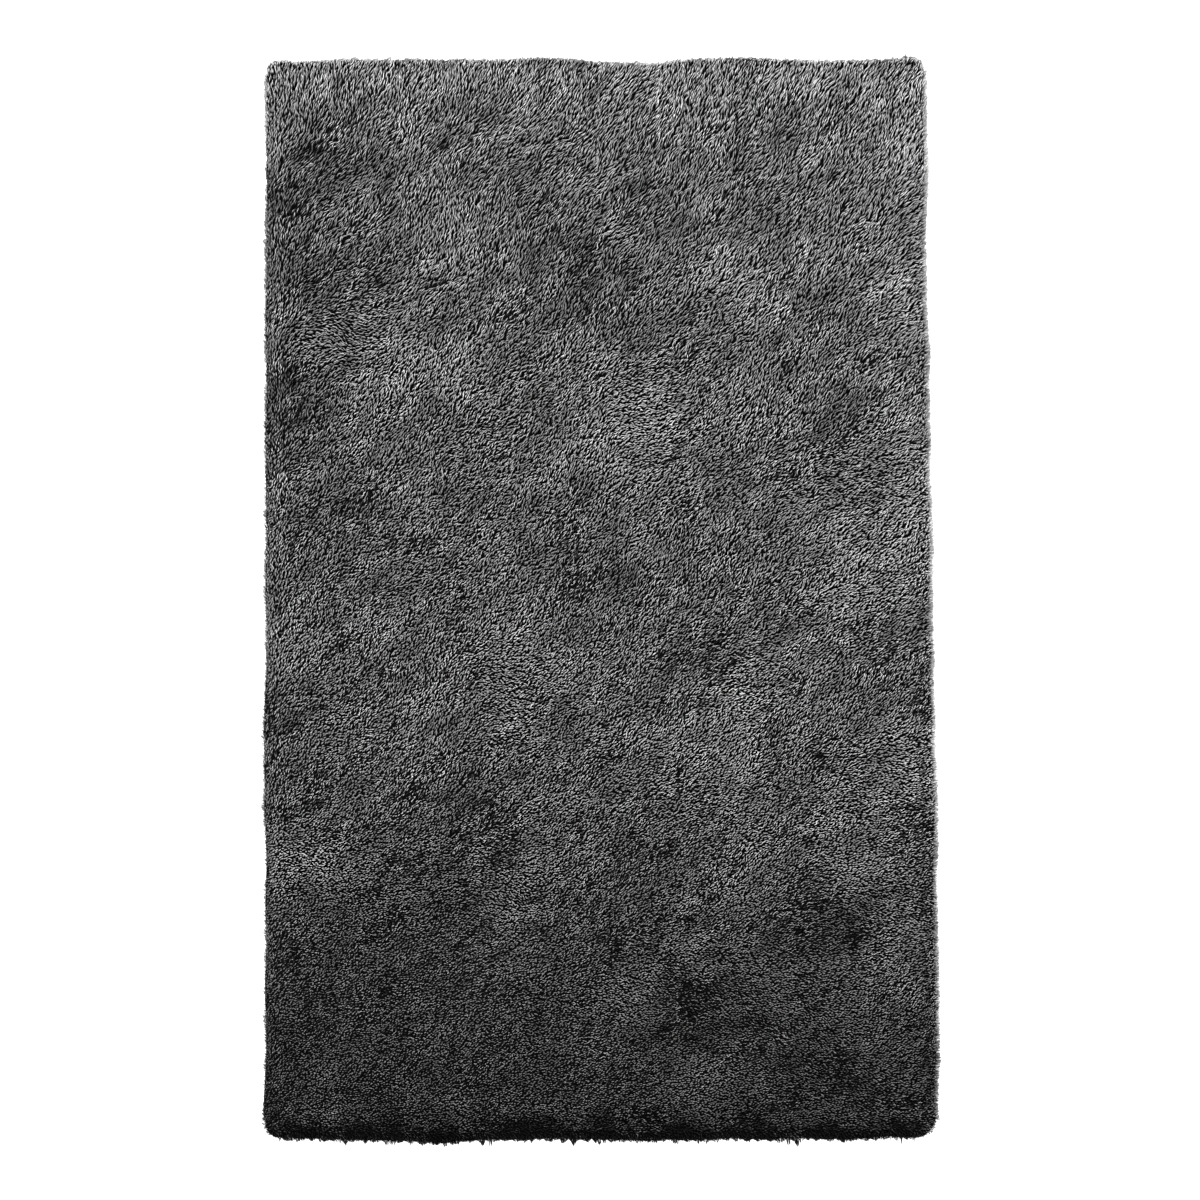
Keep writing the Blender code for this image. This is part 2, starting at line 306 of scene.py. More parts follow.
@dataclass
class RugForm:
    """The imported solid, asked for its height and its edges.

    Args:
        solid: The CAD node's object.
        probe_height: The height over the floor at which the edges are read.
        step: The distance between two readings of an edge.
        end_steps: How many steps before the rug's end the readings stop.
        spread: How many readings an edge's running median takes.
        dips: How the pile's outline departs from the wall's.
        drop_height: The height from which the solid's top is read.
        edges: The readings of each side.
        corners: The radius of each round corner.
    """

    solid: bpy.types.Object
    probe_height: float = 0.016
    step: float = 0.010
    end_steps: int = 6
    spread: int = 9
    dips: tuple[Dip, ...] = DIPS
    drop_height: float = 1.0
    edges: dict[Side, tuple[np.ndarray, np.ndarray]] = field(default_factory=dict)
    corners: dict[tuple[Side, Side], float] = field(
        default_factory=lambda: {
            (Side.LEFT, Side.NEAR): 0.022,
            (Side.RIGHT, Side.NEAR): 0.032,
            (Side.LEFT, Side.FAR): 0.009,
            (Side.RIGHT, Side.FAR): 0.014,
        }
    )

    def __post_init__(self) -> None:
        """Build the search tree and read all four edges."""
        self.tree = BVHTree.FromObject(self.solid, bpy.context.evaluated_depsgraph_get())
        low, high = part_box(NODE)
        self.low = np.array(low)
        self.high = np.array(high)
        for side in Side:
            self.edges[side] = self.read_edge(side)

    def read_edge(self, side: Side) -> tuple[np.ndarray, np.ndarray]:
        """Find how far the rim's wall stands out all along one side, between the locks.

        Args:
            side: The side to read.

        Returns:
            Places along the side, and the distance of the wall from the middle at each.
        """
        along_axis = 1 - side.axis
        room = self.high[along_axis] - self.end_steps * self.step
        along = np.arange(-room, room, self.step)
        reach = []
        for place in along:
            start = Vector((0.0, 0.0, self.probe_height))
            start[along_axis] = place
            hit = self.tree.ray_cast(start, Vector((*side.value, 0.0)))[0]
            reach.append(abs(hit[side.axis]))
        padded = np.pad(np.array(reach), self.spread // 2, mode="edge")
        windows = np.lib.stride_tricks.sliding_window_view(padded, self.spread)
        fallen = sum(dip.at(along) for dip in self.dips if dip.side is side)
        return along, np.median(windows, axis=1) - fallen

    def inset(self, side: Side, places: np.ndarray) -> np.ndarray:
        """Return how far inside one side each place is, negative outside."""
        along, reach = self.edges[side]
        wall = np.interp(places[:, 1 - side.axis], along, reach)
        return wall - places[:, side.axis] * side.value[side.axis]

    def from_corner(self, across: Side, end: Side, places: np.ndarray) -> np.ndarray:
        """Return the way from a round corner's own middle to each place, as two amounts outwards."""
        insets = [self.inset(side, places) for side in (across, end)]
        return self.corners[across, end] - np.stack(insets, axis=1)

    def nearest_inset(self, places: np.ndarray) -> np.ndarray:
        """Measure how far inside the rug's round-cornered outline each place is.

        Args:
            places: Points on the rug, n by 2.

        Returns:
            One distance for each, negative outside.
        """
        nearest = np.min([self.inset(side, places) for side in Side], axis=0)
        for (across, end), radius in self.corners.items():
            way = self.from_corner(across, end, places)
            in_corner = (way > 0.0).all(axis=1)
            nearest[in_corner] = radius - np.hypot(way[:, 0], way[:, 1])[in_corner]
        return nearest

    def draw_in(self, places: np.ndarray, room: dict[Side, float]) -> np.ndarray:
        """Draw places in to the round corners.

        Args:
            places: Points on the rug, n by 2.
            room: How far past the corner's arc they may lie, at the near and at the far end.

        Returns:
            The places, none farther out.
        """
        drawn = places.copy()
        for (across, end), radius in self.corners.items():
            way = self.from_corner(across, end, drawn)
            away = np.hypot(way[:, 0], way[:, 1])
            most = radius + room[end]
            past = (way > 0.0).all(axis=1) & (away > most)
            back = (way * (1.0 - most / np.maximum(away, TINY))[:, None])[past]
            drawn[past] -= back[:, :1] * across.out + back[:, 1:] * end.out
        return drawn

    def rim_row(self, side: Side, pitch: float) -> np.ndarray:
        """Set out a row of places along one side's wall.

        Args:
            side: The side.
            pitch: The way from place to place.

        Returns:
            The places, n by 2.
        """
        along, reach = self.edges[side]
        room = self.high[1 - side.axis]
        row = np.arange(-room, room, pitch)
        places = np.empty((len(row), 2))
        places[:, 1 - side.axis] = row
        places[:, side.axis] = side.value[side.axis] * np.interp(row, along, reach)
        return places

    def height(self, places: np.ndarray) -> np.ndarray:
        """Return the solid's top over each place, and 0 where there is none."""
        down = Vector((0.0, 0.0, -1.0))
        hits = (self.tree.ray_cast(Vector((x, y, self.drop_height)), down)[0] for x, y in places)
        return np.array([hit.z if hit else 0.0 for hit in hits])


# ---------------------------------------------------------------------------- finishes


def new_group(name: str, inputs: dict[str, tuple[str, float]], outputs: dict[str, str]) -> bpy.types.NodeTree:
    """Start a shader node group.

    Args:
        name: The group's name.
        inputs: Socket type and default value by socket name.
        outputs: Socket type by socket name.

    Returns:
        The group, with its input and output nodes in it.
    """
    group = bpy.data.node_groups.new(name, "ShaderNodeTree")
    for label, (kind, value) in inputs.items():
        socket = group.interface.new_socket(label, in_out="INPUT", socket_type=kind)
        socket.default_value = value
    for label, kind in outputs.items():
        group.interface.new_socket(label, in_out="OUTPUT", socket_type=kind)
    group.nodes.new("NodeGroupInput")
    group.nodes.new("NodeGroupOutput")
    return group


@dataclass
class NodeDesk:
    """A short way to add and link nodes in one tree.

    Args:
        tree: The tree.
    """

    tree: bpy.types.NodeTree

    def math(self, operation: str, *values: object, clamp: bool = False) -> bpy.types.NodeSocket:
        """Add a Math node.

        Args:
            operation: The node's operation.
            values: Its inputs, each a number or a socket.
            clamp: Whether to hold the result between 0 and 1.

        Returns:
            The node's output.
        """
        node = self.tree.nodes.new("ShaderNodeMath")
        node.operation = operation
        node.use_clamp = clamp
        for socket, value in zip(node.inputs, values):
            self.feed(socket, value)
        return node.outputs[0]

    def feed(self, socket: bpy.types.NodeSocket, value: object) -> None:
        """Set a socket, or link it.

        Args:
            socket: The input to feed.
            value: A number to set it to, or a socket to link to it.
        """
        if isinstance(value, bpy.types.NodeSocket):
            self.tree.links.new(value, socket)
        else:
            socket.default_value = value

    def attribute(self, name: str) -> bpy.types.NodeSocket:
        """Read a number that the mesh holds at its points."""
        node = self.tree.nodes.new("ShaderNodeAttribute")
        node.attribute_name = name
        return node.outputs["Fac"]

    def object_place(self) -> bpy.types.NodeSocket:
        """Read the place on the piece, in metres."""
        return self.tree.nodes.new("ShaderNodeTexCoord").outputs["Object"]

    def grey(self, value: bpy.types.NodeSocket) -> bpy.types.NodeSocket:
        """Turn a number into a grey.

        Args:
            value: The number.

        Returns:
            The colour.
        """
        node = self.tree.nodes.new("ShaderNodeCombineColor")
        for socket in node.inputs:
            self.feed(socket, value)
        return node.outputs[0]


@dataclass(frozen=True)
class FibreFinish:
    """Loose fibres that mottle a grey, the one effect that every finish of the rug shares.

    Args:
        detail: How many finer layers the noise has.
    """

    detail: float = 3.0

    def group(self) -> bpy.types.NodeTree:
        """Make the node group once.

        Returns:
            The group, or the one that is there already.
        """
        if "fibres" in bpy.data.node_groups:
            return bpy.data.node_groups["fibres"]
        group = new_group(
            "fibres",
            {
                "Place": ("NodeSocketVector", (0.0, 0.0, 0.0)),
                "Grey": ("NodeSocketFloat", 0.1),
                "Scale": ("NodeSocketFloat", 900.0),
                "Depth": ("NodeSocketFloat", 0.2),
            },
            {"Color": "NodeSocketColor", "Height": "NodeSocketFloat"},
        )
        desk = NodeDesk(group)
        given = group.nodes["Group Input"].outputs
        noise = group.nodes.new("ShaderNodeTexNoise")
        noise.inputs["Detail"].default_value = self.detail
        desk.feed(noise.inputs["Vector"], given["Place"])
        desk.feed(noise.inputs["Scale"], given["Scale"])
        swing = desk.math("MULTIPLY_ADD", noise.outputs["Fac"], 2.0, -1.0)
        share = desk.math("MULTIPLY_ADD", swing, given["Depth"], 1.0)
        done = group.nodes["Group Output"].inputs
        desk.feed(done["Color"], desk.grey(desk.math("MULTIPLY", given["Grey"], share)))
        desk.feed(done["Height"], noise.outputs["Fac"])
        return group

    def add_to(
        self, desk: NodeDesk, grey: bpy.types.NodeSocket, scale: float, depth: float
    ) -> bpy.types.ShaderNodeGroup:
        """Place the fibres in a material.

        Args:
            desk: The material's nodes.
            grey: The grey that they mottle.
            scale: How fine they are.
            depth: How much lighter and darker they make it.

        Returns:
            The placed group.
        """
        node = desk.tree.nodes.new("ShaderNodeGroup")
        node.node_tree = self.group()
        desk.feed(node.inputs["Place"], desk.object_place())
        desk.feed(node.inputs["Grey"], grey)
        desk.feed(node.inputs["Scale"], scale)
        desk.feed(node.inputs["Depth"], depth)
        return node


def bare_material(name: str, roughness: float, gloss: float) -> tuple[bpy.types.Material, NodeDesk]:
    """Start a material.

    Args:
        name: Its name.
        roughness: Its even roughness.
        gloss: Its even specular level.

    Returns:
        The material, and a desk for its nodes.
    """
    material = bpy.data.materials.new(name)
    material.use_nodes = True
    shader = material.node_tree.nodes["Principled BSDF"]
    shader.inputs["Roughness"].default_value = roughness
    shader.inputs["Specular IOR Level"].default_value = gloss
    return material, NodeDesk(material.node_tree)


def finish_with(
    desk: NodeDesk, color: bpy.types.NodeSocket, height: bpy.types.NodeSocket, depth: float
) -> None:
    """Lead a colour and a relief to a material's shader.

    Args:
        desk: The material's nodes.
        color: The colour.
        height: The relief, from 0 to 1.
        depth: How far it stands out, in metres.
    """
    shader = desk.tree.nodes["Principled BSDF"]
    bump = desk.tree.nodes.new("ShaderNodeBump")
    bump.inputs["Distance"].default_value = depth
    desk.feed(bump.inputs["Height"], height)
    desk.feed(shader.inputs["Base Color"], color)
    desk.feed(shader.inputs["Normal"], bump.outputs["Normal"])


@dataclass(frozen=True)
class WeaveFinish:
    """Plain woven cloth, each thread over one and under the next.

    Args:
        pitch: The way from thread to thread, in metres.
        low_grey: Reflectance between the threads, in painted shade.
        high_grey: Reflectance on top of a thread.
        tuck: How much lower a thread is where it goes under.
        depth: How far the threads stand out.
        roughness: How dull they are.
        gloss: Their specular level.
        fibre_scale: How fine the loose fibres are.
        fibre_depth: How much lighter and darker they make the cloth.
    """

    pitch: float = 0.0032
    low_grey: float = 0.015
    high_grey: float = 0.085
    tuck: float = 0.45
    depth: float = 0.0006
    roughness: float = 0.85
    gloss: float = 0.2
    fibre_scale: float = 1200.0
    fibre_depth: float = 0.45

    def material(self, name: str) -> bpy.types.Material:
        """Make the material.

        Args:
            name: Its name.

        Returns:
            The material.
        """
        material, desk = bare_material(name, self.roughness, self.gloss)
        split = desk.tree.nodes.new("ShaderNodeSeparateXYZ")
        desk.feed(split.inputs[0], desk.object_place())
        threads = [desk.math("DIVIDE", split.outputs[axis], self.pitch) for axis in ("X", "Y")]
        rounds = []
        for thread in threads:
            turned = desk.math("SINE", desk.math("MULTIPLY", thread, math.pi))
            rounds.append(desk.math("ABSOLUTE", turned))
        cell = desk.math("ADD", *(desk.math("FLOOR", thread) for thread in threads))
        turn = desk.math("FLOORED_MODULO", cell, 2.0)
        other = desk.math("SUBTRACT", 1.0, turn)
        over, along = (
            desk.math("ADD", desk.math("MULTIPLY", first, turn), desk.math("MULTIPLY", second, other))
            for first, second in (rounds, rounds[::-1])
        )
        tuck = desk.math("MULTIPLY_ADD", along, self.tuck, 1.0 - self.tuck)
        height = desk.math("MULTIPLY", over, tuck)
        # The grey follows the threads' height: painted shade between the threads and where a thread goes
        # under.
        grey = desk.math("MULTIPLY_ADD", height, self.high_grey - self.low_grey, self.low_grey)
        fibres = FibreFinish().add_to(desk, grey, self.fibre_scale, self.fibre_depth)
        finish_with(desk, fibres.outputs["Color"], height, self.depth)
        return material


@dataclass(frozen=True)
class PackedRootShadeFinish:
    """Painted shade, near black, over yarn roots packed side by side.

    Args:
        pitch: The way from root to root, in metres.
        low_grey: Reflectance between them, darkest in painted shade.
        high_grey: Reflectance on top of them, near black too in painted shade.
        depth: How far they stand out.
        roughness: How dull they are.
        fibre_scale: How fine the loose fibres are.
        fibre_depth: How much lighter and darker they make the roots.
    """

    pitch: float = 0.0042
    low_grey: float = 0.0004
    high_grey: float = 0.0030
    depth: float = 0.0012
    roughness: float = 0.9
    fibre_scale: float = 900.0
    fibre_depth: float = 0.5

    def material(self, name: str) -> bpy.types.Material:
        """Make the material.

        Args:
            name: Its name.

        Returns:
            The material.
        """
        material, desk = bare_material(name, self.roughness, 0.0)
        cells = desk.tree.nodes.new("ShaderNodeTexVoronoi")
        cells.inputs["Scale"].default_value = 1.0 / self.pitch
        desk.feed(cells.inputs["Vector"], desk.object_place())
        height = desk.math("SUBTRACT", 1.0, cells.outputs["Distance"], clamp=True)
        # The grey follows the roots' height: painted shade, darkest between them.
        grey = desk.math("MULTIPLY_ADD", height, self.high_grey - self.low_grey, self.low_grey)
        fibres = FibreFinish().add_to(desk, grey, self.fibre_scale, self.fibre_depth)
        finish_with(desk, fibres.outputs["Color"], height, self.depth)
        return material


@dataclass(frozen=True)
class YarnFinish:
    """Dull, softly shining yarn, with painted shade that makes it near black at its root and lighter to its
    tip, and darker on its flanks than on its crown.

    Args:
        root_grey: Reflectance at the root, in painted shade.
        dark_grey: Reflectance of the darkest yarn past its root.
        light_grey: Reflectance of the lightest yarn.
        rise_start: Where along the yarn the painted shade of the root starts to fade.
        rise_end: Where it has gone.
        crown_width: How wide its crown is, painted lighter than its flanks in painted shade: 1 for a mere
            ridge, more for a band.
        twist_depth: Depth of the twist between the yarn's plies, in metres.
        plies: How many plies there are.
        turns: How often they turn round the yarn.
        roughness: How dull the yarn is.
        gloss: Its specular level.
        fibre_scale: How fine the loose fibres are.
        fibre_depth: How much lighter and darker they make the yarn.
    """

    root_grey: float = 0.001
    dark_grey: float = 0.001
    light_grey: float = 0.34
    rise_start: float = 0.15
    rise_end: float = 0.60
    crown_width: float = 1.8
    twist_depth: float = 0.0005
    plies: float = 3.0
    turns: float = 1.2
    roughness: float = 0.70
    gloss: float = 0.03
    fibre_scale: float = 700.0
    fibre_depth: float = 0.25

    def shade_group(self) -> bpy.types.NodeTree:
        """Make the node group that turns a yarn's tone, and a place on it, into a grey with painted shade at
        the root and on the flanks, and a height.

        Returns:
            The group.
        """
        group = new_group(
            "yarn_grey_painted_shade",
            {
                "Tone": ("NodeSocketFloat", 0.5),
                "Along": ("NodeSocketFloat", 1.0),
                "Around": ("NodeSocketFloat", 0.0),
                "Crown": ("NodeSocketFloat", 1.0),
                "Flank": ("NodeSocketFloat", 0.1),
                "Root Grey": ("NodeSocketFloat", self.root_grey),
                "Dark Grey": ("NodeSocketFloat", self.dark_grey),
                "Light Grey": ("NodeSocketFloat", self.light_grey),
            },
            {"Grey": "NodeSocketFloat", "Height": "NodeSocketFloat"},
        )
        desk = NodeDesk(group)
        given = group.nodes["Group Input"].outputs
        # Painted shade at the root: the grey rises from the root grey along the yarn.
        span = self.rise_end - self.rise_start
        risen = desk.math("SUBTRACT", given["Along"], self.rise_start)
        share = desk.math("DIVIDE", risen, span, clamp=True)
        spread = desk.math("SUBTRACT", given["Light Grey"], given["Dark Grey"])
        full = desk.math("MULTIPLY_ADD", spread, given["Tone"], given["Dark Grey"])
        above_root = desk.math("SUBTRACT", full, given["Root Grey"])
        grey = desk.math("MULTIPLY_ADD", above_root, share, given["Root Grey"])
        # Painted shade on the flanks: the crown keeps the full grey, the flanks only their share.
        ridge = desk.math("MULTIPLY", given["Crown"], self.crown_width, clamp=True)
        rest = desk.math("SUBTRACT", 1.0, given["Flank"])
        crown = desk.math("MULTIPLY_ADD", ridge, rest, given["Flank"])
        ply = desk.math("MULTIPLY_ADD", given["Along"], self.turns, given["Around"])
        wave = desk.math("SINE", desk.math("MULTIPLY", ply, math.tau * self.plies))
        done = group.nodes["Group Output"].inputs
        desk.feed(done["Grey"], desk.math("MULTIPLY", grey, crown))
        desk.feed(done["Height"], wave)
        return group

    def material(self) -> bpy.types.Material:
        """Make the material.

        Returns:
            The material.
        """
        material, desk = bare_material("pile_yarn", self.roughness, self.gloss)
        yarn = desk.tree.nodes.new("ShaderNodeGroup")
        yarn.node_tree = self.shade_group()
        # Tone, Flank and Crown carry painted light and shade into the grey.
        for label in ("Tone", "Along", "Around", "Crown", "Flank"):
            desk.feed(yarn.inputs[label], desk.attribute(label.lower()))
        fibres = FibreFinish().add_to(desk, yarn.outputs["Grey"], self.fibre_scale, self.fibre_depth)
        finish_with(desk, fibres.outputs["Color"], yarn.outputs["Height"], self.twist_depth)
        return material


# ---------------------------------------------------------------------------- pile


@dataclass
class YarnPattern:
    """One yarn, modelled once: a three-sided spindle along +Z from 0 to 1, a point at each end.

    Args:
        sides: How many sides it has.
        low_ring: Where its lower ring is along it.
        high_ring: Where its upper ring is.
        high_width: The upper ring's width as a share of the lower one's.
    """

    sides: int = 3
    low_ring: float = 0.38
    high_ring: float = 0.78
    high_width: float = 0.86

    def __post_init__(self) -> None:
        """Model the yarn and keep its points and faces."""
        deselect_all()
        yarn = self.model()
        self.points = np.array([vert.co[:] for vert in yarn.data.vertices])
        self.faces = [tuple(face.vertices) for face in yarn.data.polygons]
        bpy.data.objects.remove(yarn)

    def model(self) -> bpy.types.Object:
        """Model the yarn from a cut-off cone, with each end drawn out to a point.

        Returns:
            The yarn's object.
        """
        middle = (self.low_ring + self.high_ring) / 2
        bpy.ops.mesh.primitive_cone_add(
            vertices=self.sides,
            radius1=1.0,
            radius2=self.high_width,
            depth=self.high_ring - self.low_ring,
            location=(0.0, 0.0, middle),
        )
        bpy.ops.object.transform_apply(location=True)
        yarn = bpy.context.object
        bpy.context.tool_settings.mesh_select_mode = (False, False, True)
        bpy.ops.object.mode_set(mode="EDIT")
        bpy.ops.mesh.select_all(action="DESELECT")
        bpy.ops.object.mode_set(mode="OBJECT")
        for face in yarn.data.polygons:
            face.select = abs(face.normal.z) > END_FACE
        bpy.ops.object.mode_set(mode="EDIT")
        bpy.ops.mesh.poke()
        bpy.ops.object.mode_set(mode="OBJECT")
        for vert in yarn.data.vertices:
            if math.hypot(vert.co.x, vert.co.y) < ON_AXIS:
                vert.co.z = 0.0 if vert.co.z < middle else 1.0
        return yarn

    @property
    def crown(self) -> np.ndarray:
        """How near each point is to the yarn's crown, which sets where the finish paints shade on the flanks.

        Returns:
            1 on the crown and at the tip, 0 on the flanks and at the root.
        """
        width = np.hypot(self.points[:, 0], self.points[:, 1])
        flank = -math.cos(math.pi / self.sides) if self.sides % 2 else 0.0
        share = np.clip((self.points[:, 1] / np.maximum(width, ON_AXIS) - flank) / (1.0 - flank), 0.0, 1.0)
        is_tip = self.points[:, 2] > 0.5
        return np.where(width > ON_AXIS, share, is_tip.astype(float))

    @property
    def bake_corners(self) -> np.ndarray:
        """Where each face corner lies in the yarn's own bake cell.

        Returns:
            Around and along for each corner, from 0 to 1.
        """
        corners = []
        for face in self.faces:
            ring = [v for v in face if np.hypot(*self.points[v, :2]) > ON_AXIS]
            turns = {v: math.atan2(self.points[v, 1], self.points[v, 0]) / math.tau % 1.0 for v in ring}
            if max(turns.values()) - min(turns.values()) > 0.5:
                turns = {v: turn + 1.0 if turn < 0.5 else turn for v, turn in turns.items()}
            middle = sum(turns.values()) / len(turns)
            low = round((min(turns.values()) - self.first_turn) * self.sides) / self.sides
            for v in face:
                offset = turns.get(v, middle) - min(turns.values())
                corners.append(((low + offset) % SEAM_TURN, self.points[v, 2]))
        return np.array(corners)

    @property
    def first_turn(self) -> float:
        """The smallest turn at which a ring has a point."""
        turns = [math.atan2(y, x) / math.tau % 1.0 for x, y, _ in self.points if math.hypot(x, y) > ON_AXIS]
        return min(turns)


@dataclass
class SlimPattern(YarnPattern):
    """One slim yarn between the tall ones: widest at its one ring, a point at each end.

    Args:
        low_ring: Where its one ring is along it.
    """

    low_ring: float = 0.50

    def model(self) -> bpy.types.Object:
        """Model the yarn from a lone ring, drawn out to its root and to its tip.

        Returns:
            The yarn's object.
        """
        bpy.ops.mesh.primitive_circle_add(
            vertices=self.sides, radius=1.0, fill_type="TRIFAN", location=(0.0, 0.0, self.low_ring)
        )
        bpy.ops.object.transform_apply(location=True)
        yarn = bpy.context.object
        bpy.ops.object.mode_set(mode="EDIT")
        bpy.ops.mesh.select_all(action="SELECT")
        bpy.ops.mesh.duplicate()
        bpy.ops.mesh.select_all(action="SELECT")
        bpy.ops.object.mode_set(mode="OBJECT")
        middles = [vert for vert in yarn.data.vertices if math.hypot(vert.co.x, vert.co.y) < ON_AXIS]
        for vert, height in zip(middles, (0.0, 1.0)):
            vert.co.z = height
        bpy.ops.object.mode_set(mode="EDIT")
        bpy.ops.mesh.select_all(action="SELECT")
        bpy.ops.mesh.remove_doubles(threshold=0.001)
        bpy.ops.mesh.normals_make_consistent(inside=False)
        bpy.ops.object.mode_set(mode="OBJECT")
        return yarn


@dataclass
class StubPattern(YarnPattern):
    """One deep yarn, of which little shows: a plain three-sided point."""

    def model(self) -> bpy.types.Object:
        """Model the yarn as a plain cone on its base.

        Returns:
            The yarn's object.
        """
        bpy.ops.mesh.primitive_cone_add(vertices=self.sides, radius1=1.0, depth=1.0, location=(0.0, 0.0, 0.5))
        bpy.ops.object.transform_apply(location=True)
        return bpy.context.object


@dataclass
class Yarns:
    """Many yarns, each a bent curve from a root past a shoulder to a tip. Arrays of n rows.

    Args:
        root: Where each yarn stands.
        shoulder: The place that bends it.
        tip: Where it ends.
        radius: Its radius at its thickest.
        tone: How light it is: 1 for the light grey of its finish.
        flank: The share of its grey that is left on its flanks under their painted shade.
    """

    root: np.ndarray
    shoulder: np.ndarray
    tip: np.ndarray
    radius: np.ndarray
    tone: np.ndarray
    flank: np.ndarray

    def __len__(self) -> int:
        """How many yarns there are."""
        return len(self.root)

    def pick(self, chosen: np.ndarray) -> "Yarns":
        """Return the chosen yarns alone."""
        return Yarns(*(getattr(self, part.name)[chosen] for part in fields(self)))

    @staticmethod
    def joined(groups: list["Yarns"]) -> "Yarns":
        """Return all groups of yarns as one."""
        names = [part.name for part in fields(Yarns)]
        return Yarns(*(np.concatenate([getattr(group, name) for group in groups]) for name in names))

    def stamp(self, pattern: YarnPattern, name: str) -> bpy.types.Object:
        """Bend one copy of the pattern along each yarn and join them all in one mesh.

        Args:
            pattern: The yarn that is copied.
            name: The new object's name.

        Returns:
            The new object.
        """
        count, size = len(self), len(pattern.points)
        points = np.empty((count, size, 3))
        for i, (across, up, along) in enumerate(pattern.points):
            here = (
                self.root * (1 - along) ** 2
                + self.shoulder * 2 * along * (1 - along)
                + self.tip * along**2
            )
            slope = (self.shoulder - self.root) * (1 - along) + (self.tip - self.shoulder) * along
            slope /= np.linalg.norm(slope, axis=1, keepdims=True)
            level = np.cross(np.array([0.0, 0.0, 1.0]), self.tip - self.root)
            level /= np.linalg.norm(level, axis=1, keepdims=True)
            crown = np.cross(slope, level)
            points[:, i] = here + (level * across + crown * up) * self.radius[:, None]
        mesh = bpy.data.meshes.new(name)
        starts = (np.arange(count) * size)[:, None]
        corners = np.concatenate([np.array(face) for face in pattern.faces])
        lengths = np.array([len(face) for face in pattern.faces])
        mesh.vertices.add(count * size)
        mesh.vertices.foreach_set("co", points.astype(np.float32).ravel())
        mesh.loops.add(count * len(corners))
        mesh.loops.foreach_set("vertex_index", (corners[None] + starts).ravel().astype(np.int32))
        mesh.polygons.add(count * len(lengths))
        sizes = np.tile(lengths, count)
        mesh.polygons.foreach_set("loop_start", (np.cumsum(sizes) - sizes).astype(np.int32))
        mesh.update(calc_edges=True)
        mesh.shade_smooth()
        self.write_numbers(mesh, pattern)
        mesh.validate()
        piece = bpy.data.objects.new(name, mesh)
        bpy.context.scene.collection.objects.link(piece)
        return piece

    def write_numbers(self, mesh: bpy.types.Mesh, pattern: YarnPattern) -> None:
        """Store each point's tone and flank share, which carry painted light and shade, its place along and
        around its yarn and on its crown, and the bake map.

        Args:
            mesh: The mesh of all yarns.
            pattern: The yarn that was copied.
        """
        count = len(self)
        turn = np.arctan2(pattern.points[:, 1], pattern.points[:, 0]) / math.tau
        per_point = {
            "tone": np.repeat(self.tone, len(pattern.points)),
            "flank": np.repeat(self.flank, len(pattern.points)),
            "along": np.tile(pattern.points[:, 2], count),
            "around": np.tile(turn, count),
            "crown": np.tile(pattern.crown, count),
        }
        for label, values in per_point.items():
            mesh.attributes.new(label, "FLOAT", "POINT").data.foreach_set("value", values.astype(np.float32))
        cells = math.ceil(math.sqrt(count))
        cell = np.stack(np.divmod(np.arange(count), cells), axis=1)[:, None]
        corner = BAKE_MARGIN + (1 - 2 * BAKE_MARGIN) * pattern.bake_corners[None]
        places = (cell + corner) / cells
        mesh.uv_layers.new(name="OFBake").data.foreach_set("uv", places.astype(np.float32).ravel())


@dataclass(frozen=True)
class LayRow:
    """How the pile lies at one place along the rug.

    Args:
        y: The place along the rug, in metres.
        turn: The lay there, in degrees from +X.
        stray: The spread of the yarns' turns about it, in degrees.
        reach: How far a yarn's tip lies from its root, in metres.
        apart: The least way from yarn to yarn along the lay.
        beside: The least way from yarn to yarn across it.
        radius: The yarns' radius.
        tone: The yarns' tone, as a share: painted light and shade along the rug, darkest at the near end.
        deep: The deep yarns' tone, as a share of that: painted shade deep in the pile.
        flank: The share of a yarn's grey that is left on its flanks, away from its crown, under painted
            shade.
        uneven: How unevenly the yarns' tones are spread: 0 for all alike, more for few light ones.
    """

    y: float
    turn: float
    stray: float
    reach: float
    apart: float
    beside: float
    radius: float
    tone: float
    deep: float
    flank: float
    uneven: float


# The lay from the near end to the far end. Columns: y, turn, stray, reach, apart, beside, radius,
# tone, deep, flank and uneven
# The tone, deep and flank columns carry painted light and shade; the tone column is darkest at the near end.
LAY = (
    LayRow(-1.22, 4.0, 17.0, 0.0076, 0.0046, 0.0036, 0.00105, 0.53, 0.04, 0.04, 0.40),
    LayRow(-1.00, 24.0, 17.0, 0.0080, 0.0046, 0.0036, 0.00105, 0.79, 0.04, 0.04, 0.38),
    LayRow(-0.72, 17.0, 17.0, 0.0088, 0.0047, 0.0036, 0.00109, 1.08, 0.04, 0.04, 0.38),
    LayRow(-0.50, 31.0, 17.0, 0.0098, 0.0049, 0.0036, 0.00114, 1.46, 0.06, 0.06, 0.38),
    LayRow(-0.30, 39.0, 17.0, 0.0106, 0.0050, 0.0036, 0.00118, 1.43, 0.14, 0.15, 0.36),
    LayRow(0.10, 41.0, 18.0, 0.0120, 0.0053, 0.0036, 0.00124, 1.20, 0.27, 0.28, 0.32),
    LayRow(0.50, 44.0, 17.0, 0.0138, 0.0057, 0.0036, 0.00128, 1.12, 0.31, 0.32, 0.30),
    LayRow(0.90, 52.0, 12.0, 0.0184, 0.0066, 0.0037, 0.00134, 0.90, 0.28, 0.27, 0.26),
    LayRow(1.22, 68.0, 9.0, 0.0215, 0.0074, 0.0038, 0.00138, 1.04, 0.72, 0.90, 0.14),
)


def along_rug(places: np.ndarray, column: str) -> np.ndarray:
    """Read one column of the lay's table at each place."""
    return np.interp(places[:, 1], [row.y for row in LAY], [getattr(row, column) for row in LAY])


